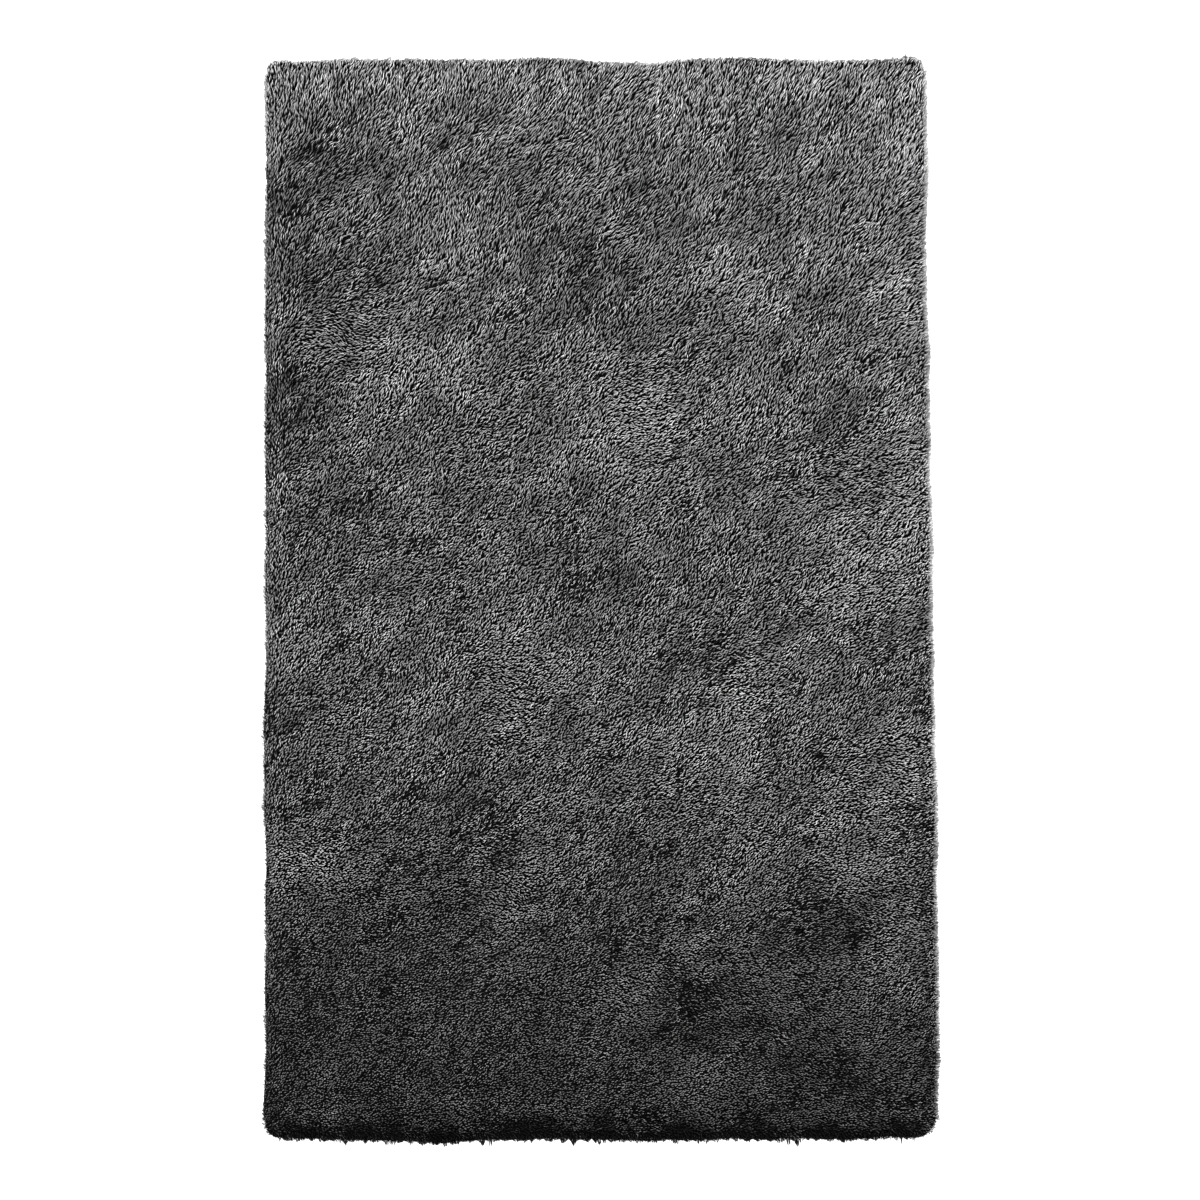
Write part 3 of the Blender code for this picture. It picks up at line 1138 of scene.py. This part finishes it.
@dataclass
class Sweep:
    """Which way the pile lies, and how flat.

    Args:
        broad: The widest ripples in its lay.
        tuft: Ripples a few tufts wide.
        fine: Ripples a few yarns wide.
        swings: How far each of them turns the lay, in degrees.
        partings: Places where the lay is turned aside, by so many degrees.
        reaches: The shortest and the longest reach of a yarn, as shares of the mean.
    """

    broad: Ripple = Ripple(0.42, 11)
    tuft: Ripple = Ripple(0.085, 12)
    fine: Ripple = Ripple(0.028, 13)
    swings: tuple[float, float, float] = (7.0, 6.0, 5.0)
    partings: tuple[Patch, ...] = ()
    reaches: tuple[float, float] = (0.75, 1.25)

    def turn(self, places: np.ndarray) -> np.ndarray:
        """Find the lay.

        Args:
            places: Points on the rug, n by 2.

        Returns:
            The lay at each, in radians from +X.
        """
        turn = along_rug(places, "turn") + sum_of(self.partings, places)
        for ripple, swing in zip((self.broad, self.tuft, self.fine), self.swings):
            turn = turn + swing * ripple.at(places)
        return np.radians(turn)

    def lay(self, places: np.ndarray, rng: np.random.Generator, stray: float, length: float) -> np.ndarray:
        """Give each yarn its own lay.

        Args:
            places: The yarns' roots.
            rng: Picks each yarn's own turn and reach.
            stray: The spread of their turns about the lay, as a share of the pile's.
            length: Their mean reach, as a share of the pile's.

        Returns:
            The level way from each yarn's root to its tip.
        """
        own = rng.normal(0.0, stray, len(places)) * along_rug(places, "stray")
        turn = self.turn(places) + np.radians(own)
        reach = along_rug(places, "reach") * length * rng.uniform(*self.reaches, len(places))
        return np.stack([np.cos(turn), np.sin(turn)], axis=1) * reach[:, None]


@dataclass(frozen=True)
class Overhang:
    """How the pile falls over one side of the rug.

    Args:
        reach: How far the outermost tips lie past the rim's wall, in metres.
        tufts: How far tufts of them stand out past the rest.
        evenness: How far out the shortest outermost tips lie, as a share of the longest.
        locks: How far locks stand out, where they come in groups.
        turn_zone: How far in from the wall the lay starts to turn.
        turn: How far it has turned at the wall, in degrees.
        shade: The share of the yarns' tone that is left at the wall: painted shade below 1, painted light
            above 1.
        shade_zone: How far in from the wall that painted shade and light reach.
        ragged: How unevenly the band of painted shade ends, in metres.
    """

    reach: float
    tufts: float
    evenness: float = 0.85
    locks: float = 0.002
    turn_zone: float = 0.03
    turn: float = 0.0
    shade: float = 0.7
    shade_zone: float = 0.008
    ragged: float = 0.0


@dataclass(frozen=True)
class YarnKind:
    """One of the kinds of yarn in the pile.

    Args:
        girth: Its radius, as a share of the pile's.
        length: Its reach as a share of the pile's.
        stray: The spread of its turn about the lay, as a share of the pile's.
        tone: The share of the pile's tone that it has, or 0 for the painted shade of a deep yarn.
        low: The least share of the solid's height that its shoulder has.
        high: The greatest share.
        rise: How far its shoulder rises over that, at most.
        rises: The least and the most of that rise that a yarn has.
        shoulders: How far along its lay its shoulder lies, least and most.
        sink: How far its tip may lie below the solid's top.
        deep_sink: How much farther the tip of a yarn that lies low sinks.
        tips: The least and the most height of a tip that would lie too low, as shares of the top.
        tip_low: The height over the floor at which such a tip is low enough.
        root_share: The greatest height of its root, as a share of its top.
        root_gap: What is added to that.
        girths: The slimmest and the thickest yarn, as shares of the radius.
    """

    girth: float
    length: float
    stray: float
    tone: float
    low: float
    high: float
    rise: float
    rises: tuple[float, float] = (0.2, 1.0)
    shoulders: tuple[float, float] = (0.12, 0.38)
    sink: float = 0.008
    deep_sink: float = 0.030
    tips: tuple[float, float] = (0.3, 0.9)
    tip_low: float = 0.016
    root_share: float = 0.4
    root_gap: float = 0.003
    girths: tuple[float, float] = (0.8, 1.15)


TALL_YARN = YarnKind(girth=1.05, length=0.85, stray=1.0, tone=1.0, low=1.0, high=1.0, rise=0.010)
SLIM_YARN = YarnKind(girth=1.0, length=0.80, stray=1.0, tone=0.95, low=0.95, high=1.0, rise=0.008)
RIM_YARN = YarnKind(girth=1.2, length=0.85, stray=1.2, tone=0.70, low=0.3, high=0.7, rise=0.002)
# Deep yarns take their tone from the lay's deep column: painted shade deep in the pile.
DEEP_SHADED_YARN = YarnKind(girth=1.5, length=0.90, stray=1.8, tone=0.0, low=0.6, high=0.85, rise=0.0)


# The rim's own ripples: how its band of painted shadow ends, how its tufts stand out, where locks come in
# groups and where each one hangs. The two last ripples bend the places of painted light and shade out of the
# round.
RAGGED_ENDS = (Ripple(0.12, 41), Ripple(0.03, 43))
TUFTS = Ripple(0.018, 42)
LOCK_GROUPS = Ripple(0.07, 44)
LOCKS = Ripple(0.016, 45)
PAINTED_LIGHT_BENDS = (Ripple(0.11, 51, stretch=1.5), Ripple(0.11, 52, stretch=1.5))


@dataclass
class ShagPile:
    """The pile: yarns a set way apart, dark ones deep between them in painted shade, and close rows at the
    rim.

    Args:
        form: The rug's form.
        sweep: Which way the pile lies.
        light: Places of painted light and shade.
        overhangs: How it falls over each side, and the painted shade and light at each.
        tries: How many places are tried for the open yarns.
        raster: The cell of the net in which the taken places are marked, in metres.
        tall_share: The share of the open yarns that are tall.
        deep_pitch: The way between two deep yarns.
        jitter: How far each one is moved, as a share of that.
        rim_pitch: The way between two yarns that hang at the rim.
        rim_rows: How many rows of them there are.
        deep_rim_rows: How many rows of deep yarns hang behind them.
        rim_fill: How far out over the rim they lie, as the square of a share of the reach.
        rim_height: The least height of the pile at the rim.
        fall_drop: The share of its height that a yarn loses where it falls farthest out.
        open_share: How far out over the rim the open yarns lie down, as a share of the reach.
        root_height: The height of the roots.
        foot_reach: How far past the wall the roots may stand.
        corner_room: How far past a round corner the tips may lie, as a share of the reach.
        lock_peak: The most that the ripple of single locks counts.
        hung_share: How far out a tip has to lie to be part of a lock, as a share of the reach.
        frayed: The spread with which each yarn departs from the end of the band of painted shade.
        most_uneven: How unevenly the yarns' tones are spread at most.
        lightest: The lightest tone that a yarn gets where the lay's painted light and shade along the rug is
            1.
        mottles: Random clouds of painted light and shade.
        mottle_swings: How much lighter and darker each of them makes the pile.
        bend: How far the places of painted light and shade are bent out of the round, in metres.
        darkest: The least share of its painted light that the pile keeps.
        closings: Random places where the pile is closer or more open than its painted light says.
        closing_swings: How much each of them changes the painted shade on the yarns' flanks, as a power of e.
        closing: How fast the painted shade on the flanks lifts as the painted light grows, as a power.
        lightest_flank: The lightest that a flank gets under its painted shade.
        swell: How much thicker the yarns are where the pile lies close.
        thicknesses: The least and the most that this makes of them.
        piece_faces: The most faces in one piece.
        seed: Picks the yarns.
    """

    form: RugForm
    sweep: Sweep
    light: tuple[Patch, ...] = ()
    overhangs: dict[Side, Overhang] = field(
        default_factory=lambda: {
            # Each side's shade paints shade into the rim below 1 and light above 1; the near side's dark band
            # is painted shadow.
            Side.LEFT: Overhang(0.0242, 0.0008, locks=0.001, turn_zone=0.045, turn=24.0, shade=0.95),
            Side.RIGHT: Overhang(0.0264, 0.0008, locks=0.001, shade=1.25, shade_zone=0.020),
            Side.NEAR: Overhang(
                0.0126,
                0.0042,
                locks=0.009,
                turn_zone=0.014,
                turn=-75.0,
                shade=0.10,
                shade_zone=0.042,
                ragged=0.008,
            ),
            Side.FAR: Overhang(0.0200, 0.0022, evenness=0.55, shade=1.1),
        }
    )
    tries: int = 1200000
    raster: float = 0.0006
    tall_share: float = 0.07
    deep_pitch: float = 0.0125
    jitter: float = 0.45
    rim_pitch: float = 0.0042
    rim_rows: int = 2
    deep_rim_rows: int = 3
    rim_fill: float = 0.9
    rim_height: float = 0.018
    fall_drop: float = 0.65
    open_share: float = 0.95
    root_height: float = 0.010
    foot_reach: float = 0.008
    corner_room: float = 0.6
    lock_peak: float = 1.2
    hung_share: float = 0.6
    frayed: float = 0.8
    most_uneven: float = 2.5
    lightest: float = 2.2
    mottles: tuple[Ripple, ...] = (
        Ripple(0.16, 31, stretch=1.5),
        Ripple(0.055, 32, stretch=2.0),
        Ripple(0.028, 33, stretch=2.0),
    )
    mottle_swings: tuple[float, ...] = (0.08, 0.13, 0.10)
    bend: float = 0.022
    darkest: float = 0.35
    closings: tuple[Ripple, ...] = (Ripple(0.12, 61, stretch=1.7), Ripple(0.05, 62, stretch=1.7))
    closing_swings: tuple[float, ...] = (0.9, 0.8)
    closing: float = 2.6
    lightest_flank: float = 0.65
    swell: float = 0.14
    thicknesses: tuple[float, float] = (0.75, 1.3)
    piece_faces: int = 170000
    seed: int = 5

    def spaced_places(self, rng: np.random.Generator) -> np.ndarray:
        """Scatter places at random, each clear of the others by a set way along and across the lay.

        Args:
            rng: Picks the places to try.

        Returns:
            The places that stay, n by 2.
        """
        half = self.form.high[:2]
        tries = rng.uniform(-1.0, 1.0, (self.tries, 2)) * half
        tries = tries[self.form.nearest_inset(tries) > -self.open_share * self.reach_near(tries)]
        apart, beside = (along_rug(tries, column) / self.raster for column in ("apart", "beside"))
        turns = self.sweep.turn(tries)
        margin = math.ceil(max(apart.max(), beside.max()))
        cells = ((tries + half) / self.raster).astype(int) + margin
        taken = np.zeros(np.ceil(2 * half / self.raster).astype(int) + 2 * margin + 2, dtype=bool)
        offsets = np.arange(-margin, margin + 1)
        across, up = np.meshgrid(offsets, offsets, indexing="ij")
        kept = []
        for i, (column, row) in enumerate(cells):
            if taken[column, row]:
                continue
            kept.append(i)
            cos, sin = math.cos(turns[i]), math.sin(turns[i])
            along = (across * cos + up * sin) / apart[i]
            aside = (up * cos - across * sin) / beside[i]
            window = taken[column - margin : column + margin + 1, row - margin : row + margin + 1]
            window |= along * along + aside * aside < 1.0
        return tries[kept]

    def net_places(self, rng: np.random.Generator) -> np.ndarray:
        """Set out an even net over the rug's foot, and move each place a little.

        Args:
            rng: Picks how far each one is moved.

        Returns:
            The places, n by 2.
        """
        columns, rows = (np.arange(-half, half, self.deep_pitch) for half in self.form.high[:2])
        x, y = np.meshgrid(columns, rows)
        places = np.stack([x.ravel(), y.ravel()], axis=1)
        places = places + rng.uniform(-self.jitter, self.jitter, places.shape) * self.deep_pitch
        return places[self.form.nearest_inset(places) > -self.foot_reach]

    def rim_places(self, rng: np.random.Generator, rows_each: int) -> np.ndarray:
        """Scatter rows of places all along the rim, out to the pile's reach.

        Args:
            rng: Picks how far out each place lies.
            rows_each: How many rows each side gets.

        Returns:
            The places, n by 2.
        """
        rows = []
        for side, over in self.overhangs.items():
            for _ in range(rows_each):
                row = self.form.rim_row(side, self.rim_pitch)
                row += rng.uniform(-0.5, 0.5, row.shape) * self.rim_pitch
                past = np.sqrt(rng.uniform(0.0, self.rim_fill, len(row))) * over.reach
                rows.append(row + side.out * past[:, None])
        places = np.concatenate(rows)
        return places[self.form.nearest_inset(places) > -self.reach_near(places)]

    def reach_near(self, places: np.ndarray) -> np.ndarray:
        """Return the reach of the side that is nearest to each place."""
        insets = np.stack([self.form.inset(side, places) for side in self.overhangs])
        return np.array([over.reach for over in self.overhangs.values()])[insets.argmin(axis=0)]

    def turn_aside(self, places: np.ndarray, lay: np.ndarray) -> np.ndarray:
        """Turn the yarns' lay near the sides.

        Args:
            places: Where the yarns' tops lie down.
            lay: The way that each yarn lies.

        Returns:
            The new way of each.
        """
        turn = np.zeros(len(places))
        for side, over in self.overhangs.items():
            near = smooth_step(1.0 - self.form.inset(side, places) / over.turn_zone)
            turn += math.radians(over.turn) * near
        cos, sin = np.cos(turn), np.sin(turn)
        return np.stack([lay[:, 0] * cos - lay[:, 1] * sin, lay[:, 0] * sin + lay[:, 1] * cos], axis=1)

    def roots_of(self, places: np.ndarray) -> tuple[np.ndarray, np.ndarray]:
        """Find where the yarns stand whose tops lie at some places, some of them out over the rim.

        Args:
            places: Where the yarns' tops lie down.

        Returns:
            The roots, none past the pile's foot, and how far each yarn falls outwards, as a share of
            the reach.
        """
        roots = places.copy()
        for side in Side:
            past = np.maximum(-self.foot_reach - self.form.inset(side, places), 0.0)
            roots -= side.out * past[:, None]
        roots = self.form.draw_in(roots, {Side.NEAR: self.foot_reach, Side.FAR: self.foot_reach})
        fall = -self.form.nearest_inset(places) / self.reach_near(places)
        return roots, np.clip(fall, 0.0, 1.0)

    def hold_in(self, tips: np.ndarray, rng: np.random.Generator) -> np.ndarray:
        """Draw the tips in to the rug's uneven, round-cornered outline.

        Args:
            tips: Where the tips would lie.
            rng: Picks how far out each one may lie.

        Returns:
            Where they lie.
        """
        short = np.sqrt(rng.uniform(0.0, 1.0, len(tips)))
        tufts = TUFTS.at(tips)
        locks = np.clip(LOCK_GROUPS.at(tips), 0.0, 1.0) * np.clip(LOCKS.at(tips), 0.0, self.lock_peak)
        for side, over in self.overhangs.items():
            even = (1.0 - (1.0 - over.evenness) * short) * over.reach
            reach = even + over.tufts * tufts + over.locks * locks
            inset = self.form.inset(side, tips)
            past = np.maximum(-inset - reach, 0.0)
            hung = inset < -self.hung_share * over.reach
            tips = tips - side.out * (past - over.locks * locks * hung)[:, None]
        room = {side: self.corner_room * over.reach for side, over in self.overhangs.items()}
        return self.form.draw_in(tips, room)

    def painted_light_clouds(self, places: np.ndarray) -> np.ndarray:
        """Find the soft clouds of painted light and shade in the pile.

        Args:
            places: Points on the rug, n by 2.

        Returns:
            How many times lighter the painted light makes the pile at each.
        """
        bent = places + self.bend * np.stack([ripple.at(places) for ripple in PAINTED_LIGHT_BENDS], axis=1)
        light = 1.0 + sum_of(self.light, bent)
        for ripple, swing in zip(self.mottles, self.mottle_swings):
            light = light + swing * ripple.at(places)
        return np.maximum(light, self.darkest)

    def flanks(self, places: np.ndarray, light: np.ndarray) -> np.ndarray:
        """Find how much grey the yarns' flanks keep under their painted shade: little in open pile, more
        where it lies close.

        Args:
            places: Where the yarns stand.
            light: How many times lighter the painted light makes the pile there.

        Returns:
            The share for each yarn.
        """
        close = self.closing * np.log(light)
        for ripple, swing in zip(self.closings, self.closing_swings):
            close = close + swing * ripple.at(places)
        return np.minimum(along_rug(places, "flank") * np.exp(close), self.lightest_flank)

    def shade(self, places: np.ndarray, rng: np.random.Generator) -> np.ndarray:
        """Paint shade into the yarns near the rim, and light where a side's share is over 1; the near rim's
        dark band is painted shadow.

        Args:
            places: Where the yarns stand.
            rng: Picks how far each one departs from the end of the band.

        Returns:
            The share of its tone that each keeps.
        """
        share = np.ones(len(places))
        for side, over in self.overhangs.items():
            uneven = sum(ripple.at(places) for ripple in RAGGED_ENDS)
            uneven = uneven + rng.normal(0.0, self.frayed, len(places))
            inset = self.form.inset(side, places) + over.ragged * uneven
            near = smooth_step(1.0 - inset / over.shade_zone)
            share *= 1.0 - (1.0 - over.shade) * near
        return share

    def grow(self, places: np.ndarray, rng: np.random.Generator, kind: YarnKind) -> Yarns:
        """Give each planted root its shoulder and tip.

        Args:
            places: The roots.
            rng: Picks each yarn's own lay, height and tone.
            kind: The kind of yarn.

        Returns:
            The yarns.
        """
        count = len(places)
        lay = self.turn_aside(places, self.sweep.lay(places, rng, kind.stray, kind.length))
        root_place, fallen = self.roots_of(places)
        tip_place = self.hold_in(places + lay, rng)
        lay = tip_place - places
        pile_top = np.maximum(self.form.height(root_place), self.rim_height)
        top = pile_top * rng.uniform(kind.low, kind.high, count) * (1.0 - self.fall_drop * fallen)
        root_top = np.minimum(self.root_height, top * kind.root_share + kind.root_gap)
        shoulder_place = places + lay * rng.uniform(*kind.shoulders, count)[:, None]
        shoulder_top = top + kind.rise * rng.uniform(*kind.rises, count)
        sink = rng.uniform(0.0, kind.sink, count) + (1.0 - kind.high) * kind.deep_sink
        over_form = self.form.height(tip_place) - sink
        low_end = np.minimum(top * rng.uniform(*kind.tips, count), kind.tip_low)
        tip_top = np.maximum(np.where(fallen > 0.0, np.minimum(over_form, top), over_form), low_end)
        return Yarns(
            np.column_stack([root_place, root_top]),
            np.column_stack([shoulder_place, shoulder_top]),
            np.column_stack([tip_place, tip_top]),
            *self.tones(places, rng, kind),
        )

    def tones(
        self, places: np.ndarray, rng: np.random.Generator, kind: YarnKind
    ) -> tuple[np.ndarray, np.ndarray, np.ndarray]:
        """Give each yarn its thickness, and its tone with painted light and shade.

        Args:
            places: Where the yarns stand.
            rng: Picks each yarn's own thickness and tone.
            kind: The kind of yarn.

        Returns:
            Each yarn's radius, its tone with painted light and shade, and the share of grey on its flanks
            under their painted shade.
        """
        count = len(places)
        light = self.painted_light_clouds(places)
        flank = self.flanks(places, light)
        usual = along_rug(places, "flank")
        uneven = np.minimum(along_rug(places, "uneven") * np.sqrt(usual / flank), self.most_uneven)
        tone = (1.0 + uneven) * rng.uniform(0.0, 1.0, count) ** uneven
        # Painted light and shade from the clouds, with the flanks' painted shade weighed out.
        tone *= light * (1.0 + usual) / (1.0 + flank)
        # A deep yarn's tone is painted shade deep in the pile, darker where the pile is open.
        kind_tone = kind.tone if kind.tone > 0.0 else along_rug(places, "deep") * np.sqrt(flank / usual)
        # The lay's tone column is painted light and shade along the rug, darkest at the near end.
        lay_light_and_shade = along_rug(places, "tone")
        tone *= self.shade(places, rng) * lay_light_and_shade * kind_tone
        thickness = np.clip(1.0 + self.swell * np.log(flank / usual), *self.thicknesses)
        tone = np.minimum(tone / thickness, self.lightest * np.sqrt(lay_light_and_shade))
        radius = kind.girth * along_rug(places, "radius") * thickness * rng.uniform(*kind.girths, count)
        return radius, tone, flank

    def build(self, material: bpy.types.Material) -> list[bpy.types.Object]:
        """Stamp each kind of yarn in bands from the near end to the far end.

        Args:
            material: What all yarns are made of.

        Returns:
            The pieces.
        """
        rng = np.random.default_rng(self.seed)
        places = self.spaced_places(rng)
        is_tall = rng.uniform(0.0, 1.0, len(places)) < self.tall_share
        tall = self.grow(places[is_tall], rng, TALL_YARN)
        slim = self.grow(places[~is_tall], rng, SLIM_YARN)
        deep = self.grow(self.net_places(rng), rng, DEEP_SHADED_YARN)
        rim = self.grow(self.rim_places(rng, self.rim_rows), rng, RIM_YARN)
        deep_rim = self.grow(self.rim_places(rng, self.deep_rim_rows), rng, DEEP_SHADED_YARN)
        pieces = []
        for label, pattern, yarns in (
            ("tall_yarn", YarnPattern(), Yarns.joined([tall, rim])),
            ("slim_yarn", SlimPattern(), slim),
            ("deep_shaded_yarn", StubPattern(), Yarns.joined([deep, deep_rim])),
        ):
            order = np.argsort(yarns.root[:, 1])
            bands = math.ceil(len(yarns) * len(pattern.faces) / self.piece_faces)
            for i, chosen in enumerate(np.array_split(order, bands)):
                piece = yarns.pick(chosen).stamp(pattern, f"{label}_{i + 1}")
                piece.data.materials.append(material)
                pieces.append(piece)
                LOG.info("%s: %d yarns", piece.name, len(chosen))
        return pieces


@dataclass
class Slab:
    """A closed slab inside the rug's edges, flat below and shaped on top.

    Args:
        form: The rug's form.
        name: The piece's name.
        insets: How far it ends inside the rim's wall, at the sides and at the two ends.
        low: The height of its underside.
        cells: How many cells its top has across and along.
    """

    form: RugForm
    name: str
    insets: tuple[float, float]
    low: float
    cells: tuple[int, int]

    def plan(self, unit: np.ndarray) -> np.ndarray:
        """Spread a square net over the rug.

        Args:
            unit: The net's points, n by 2, each from -1 to 1.

        Returns:
            The place of each on the rug.
        """
        places = unit * self.form.high[:2]
        for axis, under, over in ((0, Side.LEFT, Side.RIGHT), (1, Side.NEAR, Side.FAR)):
            middle = places.copy()
            middle[:, axis] = 0.0
            share = unit[:, axis]
            reach = np.where(share < 0, self.form.inset(under, middle), self.form.inset(over, middle))
            places[:, axis] = share * (reach - self.insets[axis])
        return self.form.draw_in(places, {end: -self.insets[1] for end in (Side.NEAR, Side.FAR)})

    def build(self) -> bpy.types.Object:
        """Model the slab from a grid: shape its top, then extrude it down.

        Returns:
            The slab's object.
        """
        deselect_all()
        bpy.ops.mesh.primitive_grid_add(x_subdivisions=self.cells[0], y_subdivisions=self.cells[1], size=2.0)
        slab = bpy.context.object
        slab.name = self.name
        mesh = slab.data
        places = self.plan(np.array([v.co[:2] for v in mesh.vertices]))
        heights = self.top(places)
        for vert, (x, y), z in zip(mesh.vertices, places, heights):
            vert.co = (x, y, z)
        bpy.ops.object.mode_set(mode="EDIT")
        bpy.ops.mesh.select_all(action="SELECT")
        bpy.ops.mesh.extrude_region_move()
        bpy.ops.transform.resize(value=(1.0, 1.0, 0.0), center_override=(0.0, 0.0, self.low))
        bpy.ops.mesh.select_all(action="SELECT")
        bpy.ops.mesh.normals_make_consistent(inside=False)
        bpy.ops.object.mode_set(mode="OBJECT")
        self.order_faces(mesh)
        self.flat = tuple(float(places[:, axis].max() - places[:, axis].min()) for axis in (0, 1))
        return slab

    @staticmethod
    def order_faces(mesh: bpy.types.Mesh) -> None:
        """Put the faces in a set order, because extrude leaves them in another one each run.

        Args:
            mesh: The slab's mesh.
        """
        points = [vert.co[:] for vert in mesh.vertices]
        faces = []
        for face in mesh.polygons:
            ring = list(face.vertices)
            first = ring.index(min(ring))
            faces.append(ring[first:] + ring[:first])
        mesh.clear_geometry()
        mesh.from_pydata(points, [], sorted(faces))

    def top(self, places: np.ndarray) -> np.ndarray:
        """Return the height of the slab's top at each place."""
        raise NotImplementedError


@dataclass
class BackingCloth(Slab):
    """The woven cloth that the yarns are tufted into.

    Args:
        thickness: How thick it is, in metres.
    """

    name: str = "backing_cloth"
    insets: tuple[float, float] = (0.003, 0.003)
    low: float = 0.0
    cells: tuple[int, int] = (30, 48)
    thickness: float = 0.0032

    def top(self, places: np.ndarray) -> np.ndarray:
        """Return the cloth's even thickness."""
        return np.full(len(places), self.low + self.thickness)

    def dress(self, cloth: bpy.types.Object) -> None:
        """Give the cloth its plain woven finish."""
        cloth.data.materials.append(WeaveFinish().material(self.name))


@dataclass
class PileFoot(Slab):
    """The dense foot of the pile, between the backing and the open yarns, near black in painted shade.

    Args:
        share: Its height, as a share of the solid's.
        edge_share: How much of that height is left at the edge.
        edge_zone: How far in from the wall it falls away.
        least: The least that it is thick.
    """

    name: str = "painted_shade_foot"
    insets: tuple[float, float] = (-0.014, -0.008)
    low: float = 0.0034
    cells: tuple[int, int] = (60, 96)
    share: float = 0.52
    edge_share: float = 0.30
    edge_zone: float = 0.05
    least: float = 0.003

    def top(self, places: np.ndarray) -> np.ndarray:
        """Return a share of the solid's height, falling away at the edges."""
        full = smooth_step(self.form.nearest_inset(places) / self.edge_zone)
        left = self.edge_share + (1.0 - self.edge_share) * full
        return np.maximum(self.form.height(places) * self.share * left, self.low + self.least)

    def dress(self, foot: bpy.types.Object) -> None:
        """Give the foot the painted shade of packed yarn roots, near black."""
        foot.data.materials.append(PackedRootShadeFinish().material(self.name))


@dataclass
class Studio:
    """Pale floor, soft light and the camera of the photograph.

    Args:
        tilt: How far the camera looks towards the far end, from straight down, in radians.
        distance: The way from the camera to what it looks at, in metres.
        view_width: How wide a strip the picture takes in at that distance.
        aim: What the camera looks at.
        sensor: The width of its sensor, in millimetres.
        view_depth: How far it sees.
        floor_size: How wide the floor is.
        floor_gap: How far it lies under the rug.
        floor_grey: Its reflectance.
        floor_roughness: How dull it is.
        sky_light: The strength of the even light all round.
        lamp_size: The width and the height of the lamp past the far end.
        lamp_power: Its power, in watts.
        lamp_place: Where it hangs.
    """

    tilt: float = math.radians(5.5)
    distance: float = 10.5
    view_width: float = 2.677
    aim: tuple[float, float, float] = (0.0052, -0.0125, 0.02)
    sensor: float = 36.0
    view_depth: float = 100.0
    floor_size: float = 60.0
    floor_gap: float = 0.0006
    floor_grey: float = 0.9
    floor_roughness: float = 0.9
    sky_light: float = 3.4
    lamp_size: tuple[float, float] = (3.2, 1.6)
    lamp_power: float = 650.0
    lamp_place: tuple[float, float, float] = (0.0, 4.5, 4.0)

    def build_floor(self) -> None:
        """Lay the floor just under the rug."""
        deselect_all()
        bpy.ops.mesh.primitive_plane_add(size=self.floor_size, location=(0.0, 0.0, -self.floor_gap))
        floor = bpy.context.object
        floor.name = "studio_floor"
        material = bpy.data.materials.new("pale_floor")
        material.use_nodes = True
        shader = material.node_tree.nodes["Principled BSDF"]
        shader.inputs["Base Color"].default_value = (*(self.floor_grey,) * 3, 1.0)
        shader.inputs["Roughness"].default_value = self.floor_roughness
        floor.data.materials.append(material)

    def build_light(self) -> None:
        """Light the rug softly all round, and more from past its far end."""
        world = bpy.data.worlds.new("soft_studio")
        world.use_nodes = True
        sky = world.node_tree.nodes["Background"]
        sky.inputs["Color"].default_value = (1.0, 1.0, 1.0, 1.0)
        sky.inputs["Strength"].default_value = self.sky_light
        bpy.context.scene.world = world
        lamp = bpy.data.lights.new("far_softbox", "AREA")
        lamp.shape = "RECTANGLE"
        lamp.size, lamp.size_y = self.lamp_size
        lamp.energy = self.lamp_power
        softbox = bpy.data.objects.new("far_softbox", lamp)
        bpy.context.scene.collection.objects.link(softbox)
        softbox.location = self.lamp_place
        aim = Vector((0.0, 0.0, 0.0)) - softbox.location
        softbox.rotation_euler = aim.to_track_quat("-Z", "Y").to_euler()

    def build_camera(self) -> None:
        """Stand the camera over the rug, tilted a little towards the far end."""
        camera = bpy.data.cameras.new("camera")
        camera.sensor_width = self.sensor
        camera.lens = self.sensor * self.distance / self.view_width
        camera.clip_end = self.view_depth
        holder = bpy.data.objects.new("camera", camera)
        bpy.context.scene.collection.objects.link(holder)
        back = Vector((0.0, -math.sin(self.tilt), math.cos(self.tilt)))
        holder.location = Vector(self.aim) + back * self.distance
        holder.rotation_euler = (self.tilt, 0.0, 0.0)
        bpy.context.scene.camera = holder
        bpy.context.scene.view_settings.view_transform = "Standard"


def main() -> None:
    """Build the rug's pieces in order, and report each."""
    logging.basicConfig(level=logging.INFO, format="%(message)s")
    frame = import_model()
    form = RugForm(frame["nodes"][NODE])

    backing = BackingCloth(form)
    cloth = backing.build()
    backing.dress(cloth)

    painted_shade_foot = PileFoot(form)
    foot = painted_shade_foot.build()
    painted_shade_foot.dress(foot)
    for piece in (cloth, foot):
        LOG.info("%s: %d faces", piece.name, len(piece.data.polygons))

    # The pile gets its places of painted light and shade here.
    pile = ShagPile(form, Sweep(partings=PARTINGS), light=PAINTED_LIGHT_AND_SHADE)
    bands = pile.build(YarnFinish().material())

    for piece in (cloth, foot, *bands):
        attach(piece, BODY)
    for piece in (foot, *bands):
        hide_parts(NODE)

    studio = Studio()
    studio.build_floor()
    studio.build_light()
    studio.build_camera()
    LOG.info("studio: floor, light and camera")


if __name__ == "__main__":
    main()
